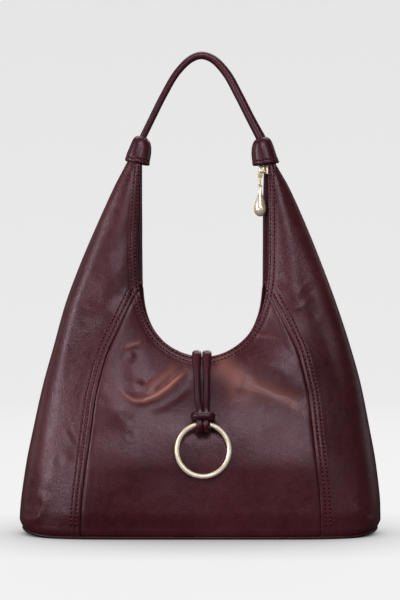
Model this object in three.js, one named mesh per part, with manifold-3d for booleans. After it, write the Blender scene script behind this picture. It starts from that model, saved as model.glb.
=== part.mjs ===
import * as THREE from "three";
import { mergeVertices } from "three/addons/utils/BufferGeometryUtils.js";
import Module from "manifold-3d";

// A slouchy leather shopper bag with a U-shaped zipped mouth between two arms and a thin rolled handle.
// Millimetres. X runs across the bag, Y from its front to its back, Z up from the floor.
// The origin is on the floor, under the middle of the bag.

// Body
const bagWidth = 400; // widest, just above the floor
const armHeight = 416; // floor to the top of the arms' leather
const baseDepth = 120; // front to back at the foot
const leather = 1.6; // wall of the panels
const baseThickness = 3.3;
const baseRound = 1.2; // rounding of the base's lower edge
const baseCurl = 4; // how far the two ends of the base turn up
const curlStartShare = 0.75; // where they begin to turn up and end, as shares of half the bag's width
const curlEndShare = 0.99;
const curlPower = 2.5; // how late they turn up
const curlFadeShare = 0.12; // height over which the walls lose the turn, as a share of armHeight
const clearance = 0.3; // between pieces that touch

// Mouth
const mouthFloor = 195; // floor to the lowest point of the mouth's edge
const mouthOffset = 2.4; // the mouth sits a little to the right
const frontMouthShare = 0.3625; // width of the mouth's front edge, as a share of bagWidth
const frontMouthArc = 115; // height of the curved part of the edge
const backMouthShare = 0.33375;
const backMouthArc = 90;
const gussetWidth = 28; // front edge to back edge at the floor of the mouth
const mouthPower = 2.65; // how square the two lower corners of the mouth are

// The inner end of an arm's level section. It leaves the bag's middle at coreStartShare and reaches the
// mouth's edge coreRiseShare above that, both as shares of mouthFloor.
const coreStartShare = 0.77;
const coreRiseShare = 0.69;
const coreReachShare = 0.97; // share of the way to the mouth's edge

// Zip
const tapeThickness = 1.2;
const tapeDrop = 4; // the tape lies this far behind the leather's edges
const zipEndShare = 0.012; // the zip stops this share of the mouth's edge short, inside the keepers
const coilWidth = 5.6;
const coilTopWidth = 3.6;
const coilHeight = 1.8;
const sliderShare = 0.973; // where the slider is, as a share of the mouth's edge from the left arm's top
const sliderLength = 9.5;
const sliderWidth = 8.4;
const sliderPlate = 1.6;
const sliderBevel = 1; // along the edges of the slider's plate
const archWire = 1.5;
const archHole = 1.35; // radius of the hole that the link hangs in
const archReach = 6.2; // slider's plate to the middle of that hole
const archDrop = 6.4; // slider's middle down to the middle of that hole
const archFoot = 4.6; // length of the arch's foot along the plate
const linkLength = 13;
const linkWidth = 6.2;
const linkWire = 1.4;
const dropLength = 30;
const dropWidth = 13.4;
const dropEye = 1.3; // radius of the hole that the link passes through
const dropEyeWire = 1.2;

// Keepers and handle
const keeperHeight = 30;
const keeperWidth = 26;
const keeperDepth = 24;
const keeperWall = 2;
const keeperShoulder = 2.4; // leather's thickness where the keeper closes on the handle
const keeperPlay = 0.5; // room round the handle there, which leans more than the keeper
const keeperRim = 1; // width of its flat top round the handle
const leftKeeperTilt = 13.5; // degrees, its top towards the middle
const rightKeeperTilt = 12;
const leftKeeperAcrossShare = 0.3535; // middle of the keeper's foot, as a share of half the bag's width
const rightKeeperAcrossShare = 0.3655;
const leftKeeperFootShare = 0.984; // height of the keeper's foot, as a share of armHeight
const rightKeeperFootShare = 0.981;
const handleDiameter = 8.4;
const handleTop = 533; // floor to the top of the handle, the bag's full height
const handleInset = 11; // how far the handle goes into a keeper

// Ring
const ringDiameter = 61.2;
const ringWire = 5;
const ringOffset = 2.8; // the ring hangs a little to the right
const ringTop = 125; // floor to the middle of the wire at its top
const ringStandOff = 11.2; // panel to the middle of the wire at its top, where the cord lies between

// Cord and its tab
const cordDiameter = 6.4;
const tabWidth = 22;
const tabHeight = 26;
const tabTop = 174.3; // floor to the top of the tab, where the cord ends
const tabThickness = 7;

// Level sections of the bag. height is a share of armHeight, left, right and reach of half the bag's
// width, depth of half the base's depth, gusset of half the gusset's width. square is the section's
// exponent: 2 is an ellipse, more is boxier. reach is how far the mouth's edge pulls the leather in.
const sections = [
  { height: 0.0087, left: 0.985, right: 0.98, depth: 1.0, square: 6.0, reach: 0.475, gusset: 1.0 },
  { height: 0.029, left: 1.0, right: 0.996, depth: 1.03, square: 5.9, reach: 0.475, gusset: 1.0 },
  { height: 0.0745, left: 0.995, right: 0.9945, depth: 1.08, square: 5.6, reach: 0.475, gusset: 1.0 },
  { height: 0.18, left: 0.9665, right: 0.9725, depth: 1.09, square: 5.0, reach: 0.475, gusset: 1.0 },
  { height: 0.286, left: 0.9225, right: 0.9335, depth: 0.96, square: 4.2, reach: 0.475, gusset: 1.0 },
  { height: 0.394, left: 0.8725, right: 0.889, depth: 0.78, square: 3.5, reach: 0.43, gusset: 1.0 },
  { height: 0.5, left: 0.8115, right: 0.828, depth: 0.62, square: 3.0, reach: 0.34, gusset: 0.98 },
  { height: 0.606, left: 0.7505, right: 0.756, depth: 0.51, square: 2.7, reach: 0.24, gusset: 0.94 },
  { height: 0.714, left: 0.6675, right: 0.673, depth: 0.43, square: 2.5, reach: 0.17, gusset: 0.88 },
  { height: 0.82, left: 0.5735, right: 0.5845, depth: 0.35, square: 2.3, reach: 0.12, gusset: 0.78 },
  { height: 0.9255, left: 0.4735, right: 0.485, depth: 0.24, square: 2.2, reach: 0.07, gusset: 0.62 },
  { height: 0.971, left: 0.424, right: 0.431, depth: 0.185, square: 2.1, reach: 0.045, gusset: 0.52 },
  { height: 1.0, left: 0.393, right: 0.398, depth: 0.155, square: 2.0, reach: 0.035, gusset: 0.46 },
];

// Half the width of the centre panel: height is a share of armHeight, across of half the bag's width.
const seams = [
  { height: 0.0087, across: 0.653 },
  { height: 0.096, across: 0.645 },
  { height: 0.18, across: 0.6265 },
  { height: 0.264, across: 0.6075 },
  { height: 0.368, across: 0.5825 },
  { height: 0.409, across: 0.565 },
  { height: 0.482, across: 0.524 },
  { height: 0.551, across: 0.4565 },
  { height: 0.634, across: 0.37 },
  { height: 0.75, across: 0.245 },
];

// Where the four edges of the mouth run between the arms, as shares of half the mouth's width.
const mouthEdges = [
  { height: 0.75, frontLeft: 1, frontRight: 1, backLeft: 1, backRight: 1 },
  { height: 0.85, frontLeft: 0.985, frontRight: 1, backLeft: 1, backRight: 1 },
  { height: 1.0, frontLeft: 0.93, frontRight: 0.99, backLeft: 1, backRight: 1.02 },
];

// Folds and hollows of the leather. face is -1 for the front and 1 for the back, turn is in degrees
// from level. across, long and wide are shares of half the bag's width, height of armHeight and rise
// of half the base's depth.
const folds = [
  { face: -1, across: -0.2, height: 0.4, turn: 32, long: 0.19, wide: 0.05, rise: 0.06 },
  { face: -1, across: -0.3, height: 0.33, turn: 38, long: 0.26, wide: 0.09, rise: -0.05 },
  { face: -1, across: 0.4, height: 0.45, turn: -24, long: 0.22, wide: 0.08, rise: 0.055 },
  { face: -1, across: 0.42, height: 0.36, turn: -18, long: 0.26, wide: 0.09, rise: -0.055 },
  { face: -1, across: -0.62, height: 0.55, turn: 60, long: 0.3, wide: 0.1, rise: -0.06 },
  { face: -1, across: 0.62, height: 0.56, turn: -62, long: 0.32, wide: 0.09, rise: -0.06 },
  { face: -1, across: -0.78, height: 0.24, turn: 78, long: 0.32, wide: 0.09, rise: -0.06 },
  { face: -1, across: 0.8, height: 0.25, turn: -80, long: 0.34, wide: 0.09, rise: -0.06 },
  { face: 1, across: -0.25, height: 0.4, turn: 30, long: 0.24, wide: 0.07, rise: 0.05 },
  { face: 1, across: 0.34, height: 0.36, turn: -30, long: 0.28, wide: 0.09, rise: -0.05 },
  { face: 1, across: -0.64, height: 0.52, turn: 58, long: 0.3, wide: 0.1, rise: -0.06 },
  { face: 1, across: 0.66, height: 0.5, turn: -60, long: 0.3, wide: 0.1, rise: -0.06 },
];

// The cord's two strands, from the tab up the back, over the mouth's floor and down the front. face is
// 0 over the mouth. height is a share of mouthFloor. middle and spread place the strands either side
// of the ring's middle, and lift is from the leather to the cord's middle, in cord diameters.
const cordDrape = [
  { face: 1, height: 0.9056, middle: -0.125, spread: 0.875, lift: 0.726 },
  { face: 1, height: 0.9918, middle: -0.156, spread: 0.875, lift: 0.806 },
  { face: 1, height: 1.019, middle: -0.172, spread: 0.875, lift: 0.322 },
  { face: 0, height: 1.0251, middle: -0.203, spread: 0.875, lift: 0 },
  { face: -1, height: 1.019, middle: -0.219, spread: 0.875, lift: 0.322 },
  { face: -1, height: 0.9918, middle: -0.211, spread: 0.867, lift: 0.805 },
  { face: -1, height: 0.8205, middle: -0.156, spread: 0.766, lift: 0.708 },
  { face: -1, height: 0.7385, middle: -0.062, spread: 0.625, lift: 0.713 },
];

// The hitch: over the ring's wire, round under it, up behind, and across the front as its bar, where
// the two strands are one. All in cord diameters from the middle of the wire at the ring's top.
const cordHitch = [
  { spread: 0.539, out: -1.765, rise: 1.969 },
  { spread: 0.53, out: -0.89, rise: 1.34 },
  { spread: 0.53, out: 0.36, rise: 1.0 },
  { spread: 0.53, out: 1.13, rise: -0.063 },
  { spread: 0.547, out: 0.797, rise: -0.906 },
  { spread: 0.703, out: -0.031, rise: -1.219 },
  { spread: 1.047, out: -0.703, rise: -0.859 },
  { spread: 1.266, out: -1.062, rise: -0.063 },
  { spread: 1.422, out: -0.843, rise: 0.844 },
  { spread: 1.437, out: 0.563, rise: 1.406 },
  { spread: 1.063, out: 1.282, rise: 1.422 },
  { spread: 0, out: 1.438, rise: 1.437 },
];

// Mesh density
const panelColumns = 20;
const panelRows = 12;
const armRows = 7;
const sideColumns = 7;
const mouthSteps = 30; // along each half of the mouth's arc
const mouthRises = 8; // along each arm above the arc
const zipPlaces = 240; // points along the mouth that the zip is laid between
const baseSectors = 44;
const baseRingShares = [0.4, 0.76, 0.92]; // shares of the base's outline
const keeperSides = 20;
const handleSides = 10;
const handleSteps = 44;
const ringSides = 8;
const ringSteps = 36;
const cordSides = 8;
const cordSteps = 78;
const dropSides = 14;
const dropEyeSides = 6;
const tabCells = 4; // along each edge of the tab

const FRONT = -1;
const BACK = 1;
const LEFT = -1;
const RIGHT = 1;

const wasm = await Module();
wasm.setup();

const clamp = THREE.MathUtils.clamp;
const radians = THREE.MathUtils.degToRad;
const smooth = (t) => THREE.MathUtils.smoothstep(t, 0, 1);
const vec = (x, y, z) => new THREE.Vector3(x, y, z);

// A smooth function through one column of a table, which never swings past its rows.
function column(rows, key) {
  const x = rows.map((row) => row.height);
  const y = rows.map((row) => row[key]);
  const rise = x.slice(1).map((end, i) => (y[i + 1] - y[i]) / (end - x[i]));
  const slope = x.map((_, i) => {
    if (i === 0) return rise[0];
    if (i === x.length - 1) return rise[i - 1];
    return rise[i - 1] * rise[i] <= 0 ? 0 : (2 * rise[i - 1] * rise[i]) / (rise[i - 1] + rise[i]);
  });
  return (at) => {
    const h = clamp(at, x[0], x[x.length - 1]);
    const i = clamp(x.findIndex((end) => end >= h) - 1, 0, x.length - 2);
    const width = x[i + 1] - x[i];
    const t = (h - x[i]) / width;
    const bend = t * t * (3 - 2 * t);
    const start = t * (1 - t) * (1 - t) * width * slope[i];
    const end = t * t * (t - 1) * width * slope[i + 1];
    return y[i] + (y[i + 1] - y[i]) * bend + start + end;
  };
}

const columnsOf = (rows, keys) => Object.fromEntries(keys.map((key) => [key, column(rows, key)]));
const section = columnsOf(sections, ["left", "right", "depth", "square", "reach", "gusset"]);
const seam = column(seams, "across");
const mouthShare = columnsOf(mouthEdges, ["frontLeft", "frontRight", "backLeft", "backRight"]);

const frontMouthWidth = frontMouthShare * bagWidth;
const backMouthWidth = backMouthShare * bagWidth;
const halfBag = bagWidth / 2;
const halfBase = baseDepth / 2;
const halfGusset = gussetWidth / 2;

const outlineAt = (side, z) => halfBag * section[side < 0 ? "left" : "right"](z / armHeight);

// Half the mouth's width at a height, from its middle to the edge on one face.
function mouthHalf(face, side, z) {
  const width = face < 0 ? frontMouthWidth : backMouthWidth;
  const arc = face < 0 ? frontMouthArc : backMouthArc;
  const name = (face < 0 ? "front" : "back") + (side < 0 ? "Left" : "Right");
  const below = clamp((mouthFloor + arc - z) / arc, 0, 1);
  return (width / 2) * mouthShare[name](z / armHeight) * Math.sqrt(1 - below ** mouthPower);
}

const mouthX = (face, side, z) => mouthOffset + side * mouthHalf(face, side, z);

// The inner end of an arm's level section: none below the mouth, the mouth's edge in the arms.
function coreAt(side, z) {
  const share = coreReachShare * smooth((z - coreStartShare * mouthFloor) / (coreRiseShare * mouthFloor));
  return share * (backMouthWidth / 2 + side * mouthOffset);
}

// Where a side seam runs. It leans with the mouth and is square with the bag at the foot.
const seamX = (side, z) =>
  side * halfBag * seam(z / armHeight) + mouthOffset * clamp(z / mouthFloor, 0, 1);

// The height where a side seam meets the mouth's edge, by halving.
function junctionAt(face) {
  let low = mouthFloor;
  let high = armHeight;
  for (let i = 0; i < 40; i++) {
    const z = (low + high) / 2;
    if (halfBag * seam(z / armHeight) > mouthHalf(face, RIGHT, z)) low = z;
    else high = z;
  }
  return low;
}

// A point of the mouth's edge, in the plane of X and Z: turn is 0 at its floor and a right angle at
// the top of its arc.
function mouthArcPoint(face, turn) {
  const arc = face < 0 ? frontMouthArc : backMouthArc;
  const z = mouthFloor + arc * (1 - Math.cos(turn) ** (2 / mouthPower));
  return new THREE.Vector2(mouthX(face, Math.sign(turn) || RIGHT, z), z);
}

// The mouth's whole edge on one face, from the top of the left arm round to the top of the right one.
function mouthLine(face, top) {
  const arcTop = mouthFloor + (face < 0 ? frontMouthArc : backMouthArc);
  const turns = Array.from(
    { length: 2 * mouthSteps + 1 },
    (_, i) => ((i / mouthSteps - 1) * Math.PI) / 2,
  );
  const arc = turns.map((turn) => mouthArcPoint(face, turn));
  const rise = Array.from(
    { length: mouthRises },
    (_, i) => arcTop + ((top - arcTop) * (i + 1)) / mouthRises,
  );
  const arm = (side) => rise.map((z) => new THREE.Vector2(mouthX(face, side, z), z));
  return [...arm(LEFT).reverse(), ...arc, ...arm(RIGHT)];
}

const mouthLines = { [FRONT]: mouthLine(FRONT, armHeight), [BACK]: mouthLine(BACK, armHeight) };

// How far a point of one face is from the mouth's edge.
function mouthDistance(face, x, z) {
  const point = new THREE.Vector2(x, z);
  const line = mouthLines[face];
  let best = Infinity;
  for (let i = 1; i < line.length; i++) {
    const along = line[i].clone().sub(line[i - 1]);
    const from = point.clone().sub(line[i - 1]);
    const t = clamp(from.dot(along) / along.lengthSq(), 0, 1);
    best = Math.min(best, from.addScaledVector(along, -t).length());
  }
  return best;
}

// How far the folds lift one face at a point.
function foldLift(face, x, z) {
  let lift = 0;
  for (const fold of folds) {
    if (fold.face !== face) continue;
    const turn = radians(fold.turn);
    const dx = x / halfBag - fold.across;
    const dz = (z - fold.height * armHeight) / halfBag;
    const along = (dx * Math.cos(turn) + dz * Math.sin(turn)) / fold.long;
    const over = (dz * Math.cos(turn) - dx * Math.sin(turn)) / fold.wide;
    lift += fold.rise * Math.exp(-along * along - over * over);
  }
  return lift * halfBase;
}

// Half the bag's depth on one face at a point: a boxy section, drawn in along the mouth's edge.
// across runs from 0 at the section's inner end to 1 on the outline.
function depthAt(face, x, z) {
  const side = x < 0 ? LEFT : RIGHT;
  const core = coreAt(side, z);
  const across = clamp((Math.abs(x) - core) / (outlineAt(side, z) - core), 0, 1);
  const full = halfBase * section.depth(z / armHeight);
  const edge = Math.min(full, halfGusset * section.gusset(z / armHeight));
  const free = Math.min(1, mouthDistance(face, x, z) / (halfBag * section.reach(z / armHeight)));
  const drawn = 1 - (1 - Math.sin((free * Math.PI) / 2)) * (1 - edge / full);
  const round = Math.sqrt(1 - across ** section.square(z / armHeight));
  return full * round * drawn + foldLift(face, x, z) * (1 - across ** 4) * free;
}

const facePoint = (face, x, z) => vec(x, face * depthAt(face, x, z), z);

// The ends of the base turn up, and the walls above them with it.
function curlAt(x) {
  const over = (Math.abs(x) / halfBag - curlStartShare) / (curlEndShare - curlStartShare);
  return baseCurl * Math.max(0, over) ** curlPower;
}

const foot = baseThickness + clearance;
const curled = (point) => {
  point.z += curlAt(point.x) * (1 - smooth((point.z - foot) / (curlFadeShare * armHeight)));
  return point;
};

function mesh(name, geometry, look) {
  const made = new THREE.Mesh(geometry, new THREE.MeshStandardMaterial(look));
  made.name = name;
  return made;
}

// Unit normals of a grid of points, by the cross product of its two directions.
function gridNormals(grid) {
  const last = grid.length - 1;
  const end = grid[0].length - 1;
  return grid.map((row, i) =>
    row.map((_, j) => {
      const down = grid[Math.min(i + 1, last)][j].clone().sub(grid[Math.max(i - 1, 0)][j]);
      const along = row[Math.min(j + 1, end)].clone().sub(row[Math.max(j - 1, 0)]);
      return down.cross(along).normalize();
    }),
  );
}

// A closed solid between two grids of points of one size. outer's faces look out along down x along.
function between(outer, inner) {
  const rows = outer.length;
  const columns = outer[0].length;
  const points = [...outer.flat(), ...inner.flat()];
  const at = (i, j) => i * columns + j;
  const under = (i, j) => rows * columns + i * columns + j;
  const faces = [];
  const quad = (a, b, c, d) => faces.push(a, b, c, a, c, d);
  for (let i = 0; i < rows - 1; i++) {
    for (let j = 0; j < columns - 1; j++) {
      quad(at(i, j), at(i + 1, j), at(i + 1, j + 1), at(i, j + 1));
      quad(under(i, j), under(i, j + 1), under(i + 1, j + 1), under(i + 1, j));
    }
    quad(at(i, 0), under(i, 0), under(i + 1, 0), at(i + 1, 0));
    quad(at(i, columns - 1), at(i + 1, columns - 1), under(i + 1, columns - 1), under(i, columns - 1));
  }
  for (let j = 0; j < columns - 1; j++) {
    quad(at(0, j), at(0, j + 1), under(0, j + 1), under(0, j));
    quad(at(rows - 1, j), under(rows - 1, j), under(rows - 1, j + 1), at(rows - 1, j + 1));
  }
  return new THREE.BufferGeometry().setFromPoints(points).setIndex(faces);
}

// The way out of the bag at a point of one face, from the slope of its depth.
function faceNormal(face, x, z) {
  const step = 1;
  const acrossSlope = (depthAt(face, x + step, z) - depthAt(face, x - step, z)) / (2 * step);
  const upSlope = (depthAt(face, x, z + step) - depthAt(face, x, z - step)) / (2 * step);
  return vec(-acrossSlope, face, -upSlope).normalize();
}

// The leather's wall behind a grid, whose normals look out of the bag. Two panels that meet at a seam
// take the face's own normals there, so that their edges stay side by side.
function wallBehind(grid, onFace) {
  const normals = gridNormals(grid);
  const inner = grid.map((row, i) =>
    row.map((point, j) => {
      const out = onFace(j) ? faceNormal(Math.sign(point.y), point.x, point.z) : normals[i][j];
      return point.clone().addScaledVector(out, -leather);
    }),
  );
  return between(grid, inner);
}

// The heights of the rows that the centre and side panels share along their seams.
function seamHeights(top) {
  return Array.from({ length: panelRows + 1 }, (_, i) => top + ((foot - top) * i) / panelRows);
}

const junction = { [FRONT]: junctionAt(FRONT), [BACK]: junctionAt(BACK) };
const lowerHeights = seamHeights(Math.min(junction[FRONT], junction[BACK]));
const upperJunction = Math.max(junction[FRONT], junction[BACK]);

// Points spread evenly by length along a line.
function spread(line, count) {
  const lengths = line.map((_, i) => (i ? line[i].distanceTo(line[i - 1]) : 0));
  for (let i = 1; i < lengths.length; i++) lengths[i] += lengths[i - 1];
  const total = lengths[lengths.length - 1];
  return Array.from({ length: count }, (_, k) => {
    const want = (total * k) / (count - 1);
    const i = clamp(lengths.findIndex((length) => length >= want - 1e-9), 1, line.length - 1);
    const t = (want - lengths[i - 1]) / (lengths[i] - lengths[i - 1]);
    return line[i - 1].clone().lerp(line[i], t);
  });
}

// The centre panel of one face: stretched between the mouth's edge, the two seams and the foot.
function centrePanel(face) {
  const top = junction[face];
  const heights = top > lowerHeights[0] + 1 ? [top, ...lowerHeights] : lowerHeights;
  const last = heights.length - 1;
  const gap = clearance / 2;
  const edge = mouthLines[face].filter((point) => point.y < top - 1e-6);
  const corner = (side) => new THREE.Vector2(mouthX(face, side, top), top);
  const upper = spread([corner(LEFT), ...edge, corner(RIGHT)], panelColumns + 1);
  const seamPoint = (side, z) => new THREE.Vector2(seamX(side, z) - side * gap, z);
  const lower = upper.map((_, j) =>
    seamPoint(LEFT, foot).lerp(seamPoint(RIGHT, foot), j / panelColumns),
  );
  upper[0] = seamPoint(LEFT, top);
  upper[panelColumns] = seamPoint(RIGHT, top);
  const grid = heights.map((z, i) => {
    const left = seamPoint(LEFT, z);
    const right = seamPoint(RIGHT, z);
    const down = i / last;
    return upper.map((point, j) => {
      const s = j / panelColumns;
      const sides = left.clone().lerp(right, s);
      const ends = point.clone().lerp(lower[j], down);
      const corners = upper[0].clone().lerp(upper[panelColumns], s);
      corners.lerp(lower[0].clone().lerp(lower[panelColumns], s), down);
      const flat = sides.add(ends).sub(corners);
      return facePoint(face, flat.x, flat.y);
    });
  });
  return wallBehind(face < 0 ? grid : grid.map((row) => row.reverse()), () => true);
}

// The inner edge of a side panel on one face: the seam, and above it the mouth's edge.
function sideInner(face, side, z) {
  const onSeam = z <= junction[face] + 1e-6;
  return onSeam ? seamX(side, z) + (side * clearance) / 2 : mouthX(face, side, z);
}

// One arm and side of the bag: level sections from the front edge round the outline to the back edge.
function sidePanel(side) {
  const arms = Array.from(
    { length: armRows + 1 },
    (_, i) => armHeight + ((upperJunction - armHeight) * i) / armRows,
  );
  const shared = upperJunction > lowerHeights[0] + 1 ? lowerHeights : lowerHeights.slice(1);
  const heights = [...arms, ...shared];
  const grid = heights.map((z) => {
    const core = coreAt(side, z);
    const reach = outlineAt(side, z) - core;
    const square = section.square(z / armHeight);
    const start = (face) => {
      const across = clamp((Math.abs(sideInner(face, side, z)) - core) / reach, 0, 1);
      return Math.acos(across ** (square / 2));
    };
    const points = (face) =>
      Array.from({ length: sideColumns + 1 }, (_, j) => {
        if (j === 0) return curled(facePoint(face, sideInner(face, side, z), z));
        if (j === sideColumns) return curled(vec(side * (core + reach), 0, z));
        const turn = start(face) * (1 - j / sideColumns);
        return curled(facePoint(face, side * (core + reach * Math.cos(turn) ** (2 / square)), z));
      });
    return [...points(FRONT), ...points(BACK).reverse().slice(1)];
  });
  const onEdge = (j) => j === 0 || j === 2 * sideColumns;
  return wallBehind(side > 0 ? grid : grid.map((row) => row.reverse()), onEdge);
}

// A closed solid through rings of points of one size, each ring going left round the way to the next.
function ringSolid(rings) {
  const sides = rings[0].length;
  const at = (ring, i) => ring * sides + (i % sides);
  const faces = [];
  for (let ring = 0; ring < rings.length - 1; ring++) {
    for (let i = 0; i < sides; i++) {
      faces.push(at(ring, i), at(ring, i + 1), at(ring + 1, i + 1));
      faces.push(at(ring, i), at(ring + 1, i + 1), at(ring + 1, i));
    }
  }
  const last = rings.length - 1;
  for (let i = 1; i < sides - 1; i++) {
    faces.push(at(0, 0), at(0, i + 1), at(0, i));
    faces.push(at(last, 0), at(last, i), at(last, i + 1));
  }
  return new THREE.BufferGeometry().setFromPoints(rings.flat()).setIndex(faces);
}

// The base: a plate with the outline of the walls' foot, its lower edge rounded over.
function basePanel() {
  const square = section.square(foot / armHeight);
  const depth = halfBase * section.depth(foot / armHeight);
  const outline = (share, inset) =>
    Array.from({ length: baseSectors }, (_, i) => {
      const turn = (2 * Math.PI * i) / baseSectors;
      const side = Math.cos(turn) < 0 ? LEFT : RIGHT;
      const x = Math.cos(turn) * (outlineAt(side, foot) - inset);
      const cut = Math.abs(Math.cos(turn)) ** square;
      const y = Math.sign(Math.sin(turn)) * Math.sqrt(Math.max(0, 1 - cut)) * (depth - inset);
      return vec(x * share, y * share, 0);
    });
  const ringAt = (share, inset, z) =>
    outline(share, inset).map((point) => vec(point.x, point.y, z + curlAt(point.x)));
  const rings = [
    ...baseRingShares.map((share) => ringAt(share, 0, 0)),
    ringAt(1, baseRound, 0),
    ringAt(1, 0, baseRound),
    ringAt(1, 0, baseThickness - baseRound / 2),
    ringAt(1, baseRound / 2, baseThickness),
    ...baseRingShares.toReversed().map((share) => ringAt(share, 0, baseThickness)),
  ];
  return ringSolid(rings);
}

// Places along the mouth: the middle between its front and back edges, the way across from front to
// back, and the way out of the bag. at runs from 0 at the top of the left arm to 1 at the right one.
const zipLines = {
  [FRONT]: spread(mouthLines[FRONT], zipPlaces + 1),
  [BACK]: spread(mouthLines[BACK], zipPlaces + 1),
};

function zipPlace(at) {
  const pick = (face) => {
    const place = at * zipPlaces;
    const i = clamp(Math.floor(place), 0, zipPlaces - 1);
    const flat = zipLines[face][i].clone().lerp(zipLines[face][i + 1], place - i);
    return facePoint(face, flat.x, flat.y);
  };
  const [front, back] = [pick(FRONT), pick(BACK)];
  return { front, back, middle: front.clone().lerp(back, 0.5) };
}

function zipFrame(at) {
  const step = 1 / zipPlaces;
  const { front, back, middle } = zipPlace(at);
  const ahead = zipPlace(Math.min(1, at + step)).middle;
  const along = ahead.sub(zipPlace(Math.max(0, at - step)).middle).normalize();
  const across = back.clone().sub(front).normalize();
  const out = along.clone().cross(across).normalize();
  return { middle, along, across, out, half: front.distanceTo(back) / 2 };
}

// A closed solid along a row of frames. sectionOf gives the points of one frame's section, going
// round with across to out.
function sweep(frames, sectionOf) {
  const rings = frames.map((frame) =>
    sectionOf(frame).map(([across, out]) =>
      frame.middle.clone().addScaledVector(frame.across, across).addScaledVector(frame.out, out),
    ),
  );
  return ringSolid(rings);
}

const zipFrames = Array.from({ length: mouthSteps * 2 + 1 }, (_, i) =>
  zipFrame(zipEndShare + ((1 - 2 * zipEndShare) * i) / (mouthSteps * 2)),
);

function zipTape() {
  return sweep(zipFrames, (frame) => {
    const half = frame.half - leather - 2 * clearance;
    const top = -tapeDrop;
    return [
      [-half, top - tapeThickness],
      [half, top - tapeThickness],
      [half, top],
      [-half, top],
    ];
  });
}

function zipCoil() {
  return sweep(zipFrames, () => {
    const base = clearance - tapeDrop;
    return [
      [-coilWidth / 2, base],
      [coilWidth / 2, base],
      [coilTopWidth / 2, base + coilHeight],
      [-coilTopWidth / 2, base + coilHeight],
    ];
  });
}

// A closed mesh as a solid that can be joined and cut, and back.
function toSolid(geometry) {
  const bare = geometry.index ? geometry.toNonIndexed() : geometry.clone();
  const points = new THREE.BufferGeometry().setAttribute("position", bare.getAttribute("position"));
  const merged = mergeVertices(points, 1e-3);
  return new wasm.Manifold(
    new wasm.Mesh({
      numProp: 3,
      vertProperties: merged.attributes.position.array,
      triVerts: new Uint32Array(merged.index.array),
    }),
  );
}

function fromSolid(solid) {
  const made = solid.getMesh();
  return new THREE.BufferGeometry()
    .setAttribute("position", new THREE.BufferAttribute(made.vertProperties, 3))
    .setIndex(new THREE.BufferAttribute(made.triVerts, 1));
}

const joined = (...geometries) =>
  fromSolid(geometries.map(toSolid).reduce((whole, piece) => whole.add(piece)));

// A flat plate from an outline, thick along Y and centred on it.
function plateXZ(shape, thickness, curveSegments) {
  return new THREE.ExtrudeGeometry(shape, { depth: thickness, bevelEnabled: false, curveSegments })
    .translate(0, 0, -thickness / 2)
    .rotateX(Math.PI / 2);
}

// A long round-ended outline about the middle, upright.
function stadium(shape, width, length) {
  const r = width / 2;
  const straight = (length - width) / 2;
  shape.absarc(0, straight, r, 0, Math.PI, false);
  shape.absarc(0, -straight, r, Math.PI, 2 * Math.PI, false);
  shape.closePath();
  return shape;
}

// The slider's body in its own frame: X out of the zip, Y across it and Z down along it, the plate's
// top at X = 0.
function sliderBody() {
  const half = sliderWidth / 2;
  const wall = (sliderWidth - coilWidth) / 2 - clearance;
  const depth = coilHeight;
  const outline = new THREE.Shape([
    new THREE.Vector2(-sliderPlate, -half),
    new THREE.Vector2(-sliderBevel, -half),
    new THREE.Vector2(0, -half + sliderBevel),
    new THREE.Vector2(0, half - sliderBevel),
    new THREE.Vector2(-sliderBevel, half),
    new THREE.Vector2(-sliderPlate - depth, half),
    new THREE.Vector2(-sliderPlate - depth, half - wall),
    new THREE.Vector2(-sliderPlate, half - wall),
    new THREE.Vector2(-sliderPlate, -half + wall),
    new THREE.Vector2(-sliderPlate - depth, -half + wall),
    new THREE.Vector2(-sliderPlate - depth, -half),
  ]);
  const body = new THREE.ExtrudeGeometry(outline, { depth: sliderLength, bevelEnabled: false });
  return body.translate(0, 0, -sliderLength / 2);
}

// The arch on the plate's lower half, in the same frame: from its foot it narrows to a round end, whose
// hole lies along Y.
function sliderArch() {
  const outer = archHole + archWire;
  const end = new THREE.Vector2(archReach, archDrop);
  const low = new THREE.Vector2(-sliderPlate / 2, sliderLength / 2 - sliderPlate / 2);
  const high = low.clone().setY(low.y - archFoot);
  const tangent = (point, side) => {
    const way = point.clone().sub(end);
    return way.angle() + side * Math.acos(outer / way.length());
  };
  const arch = new THREE.Shape();
  arch.moveTo(high.x, high.y);
  arch.absarc(end.x, end.y, outer, tangent(high, 1), tangent(low, -1), false);
  arch.lineTo(low.x, low.y);
  arch.closePath();
  arch.holes.push(new THREE.Path().absarc(end.x, end.y, archHole, 0, 2 * Math.PI, true));
  return plateXZ(arch, archWire, 6);
}

// The slider sits at the top of the right arm, just under the keeper. Its arch stands square with the
// bag, so that the pull hangs straight from it.
const sliderFrame = zipFrame(sliderShare);
const plateTop = clearance * 2 + coilHeight + sliderPlate - tapeDrop;
const sliderPlace = sliderFrame.middle.clone().addScaledVector(sliderFrame.out, plateTop);
const archOut = vec(sliderFrame.out.x, 0, sliderFrame.out.z).normalize();
const archDown = archOut.clone().cross(vec(0, 1, 0));
const pullPivot = sliderPlace
  .clone()
  .addScaledVector(archOut, archReach)
  .addScaledVector(archDown, archDrop);

function slider() {
  const turned = (out, across) =>
    new THREE.Matrix4().makeBasis(out, across, out.clone().cross(across)).setPosition(sliderPlace);
  const body = sliderBody().applyMatrix4(turned(sliderFrame.out, sliderFrame.across));
  const arch = sliderArch().applyMatrix4(turned(archOut, vec(0, 1, 0)));
  return joined(body, arch);
}

// The link is a flat loop in the plane of Y and Z, whose upper end passes through the arch.
const linkRise = linkLength / 2 - linkWire / 2;

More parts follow.
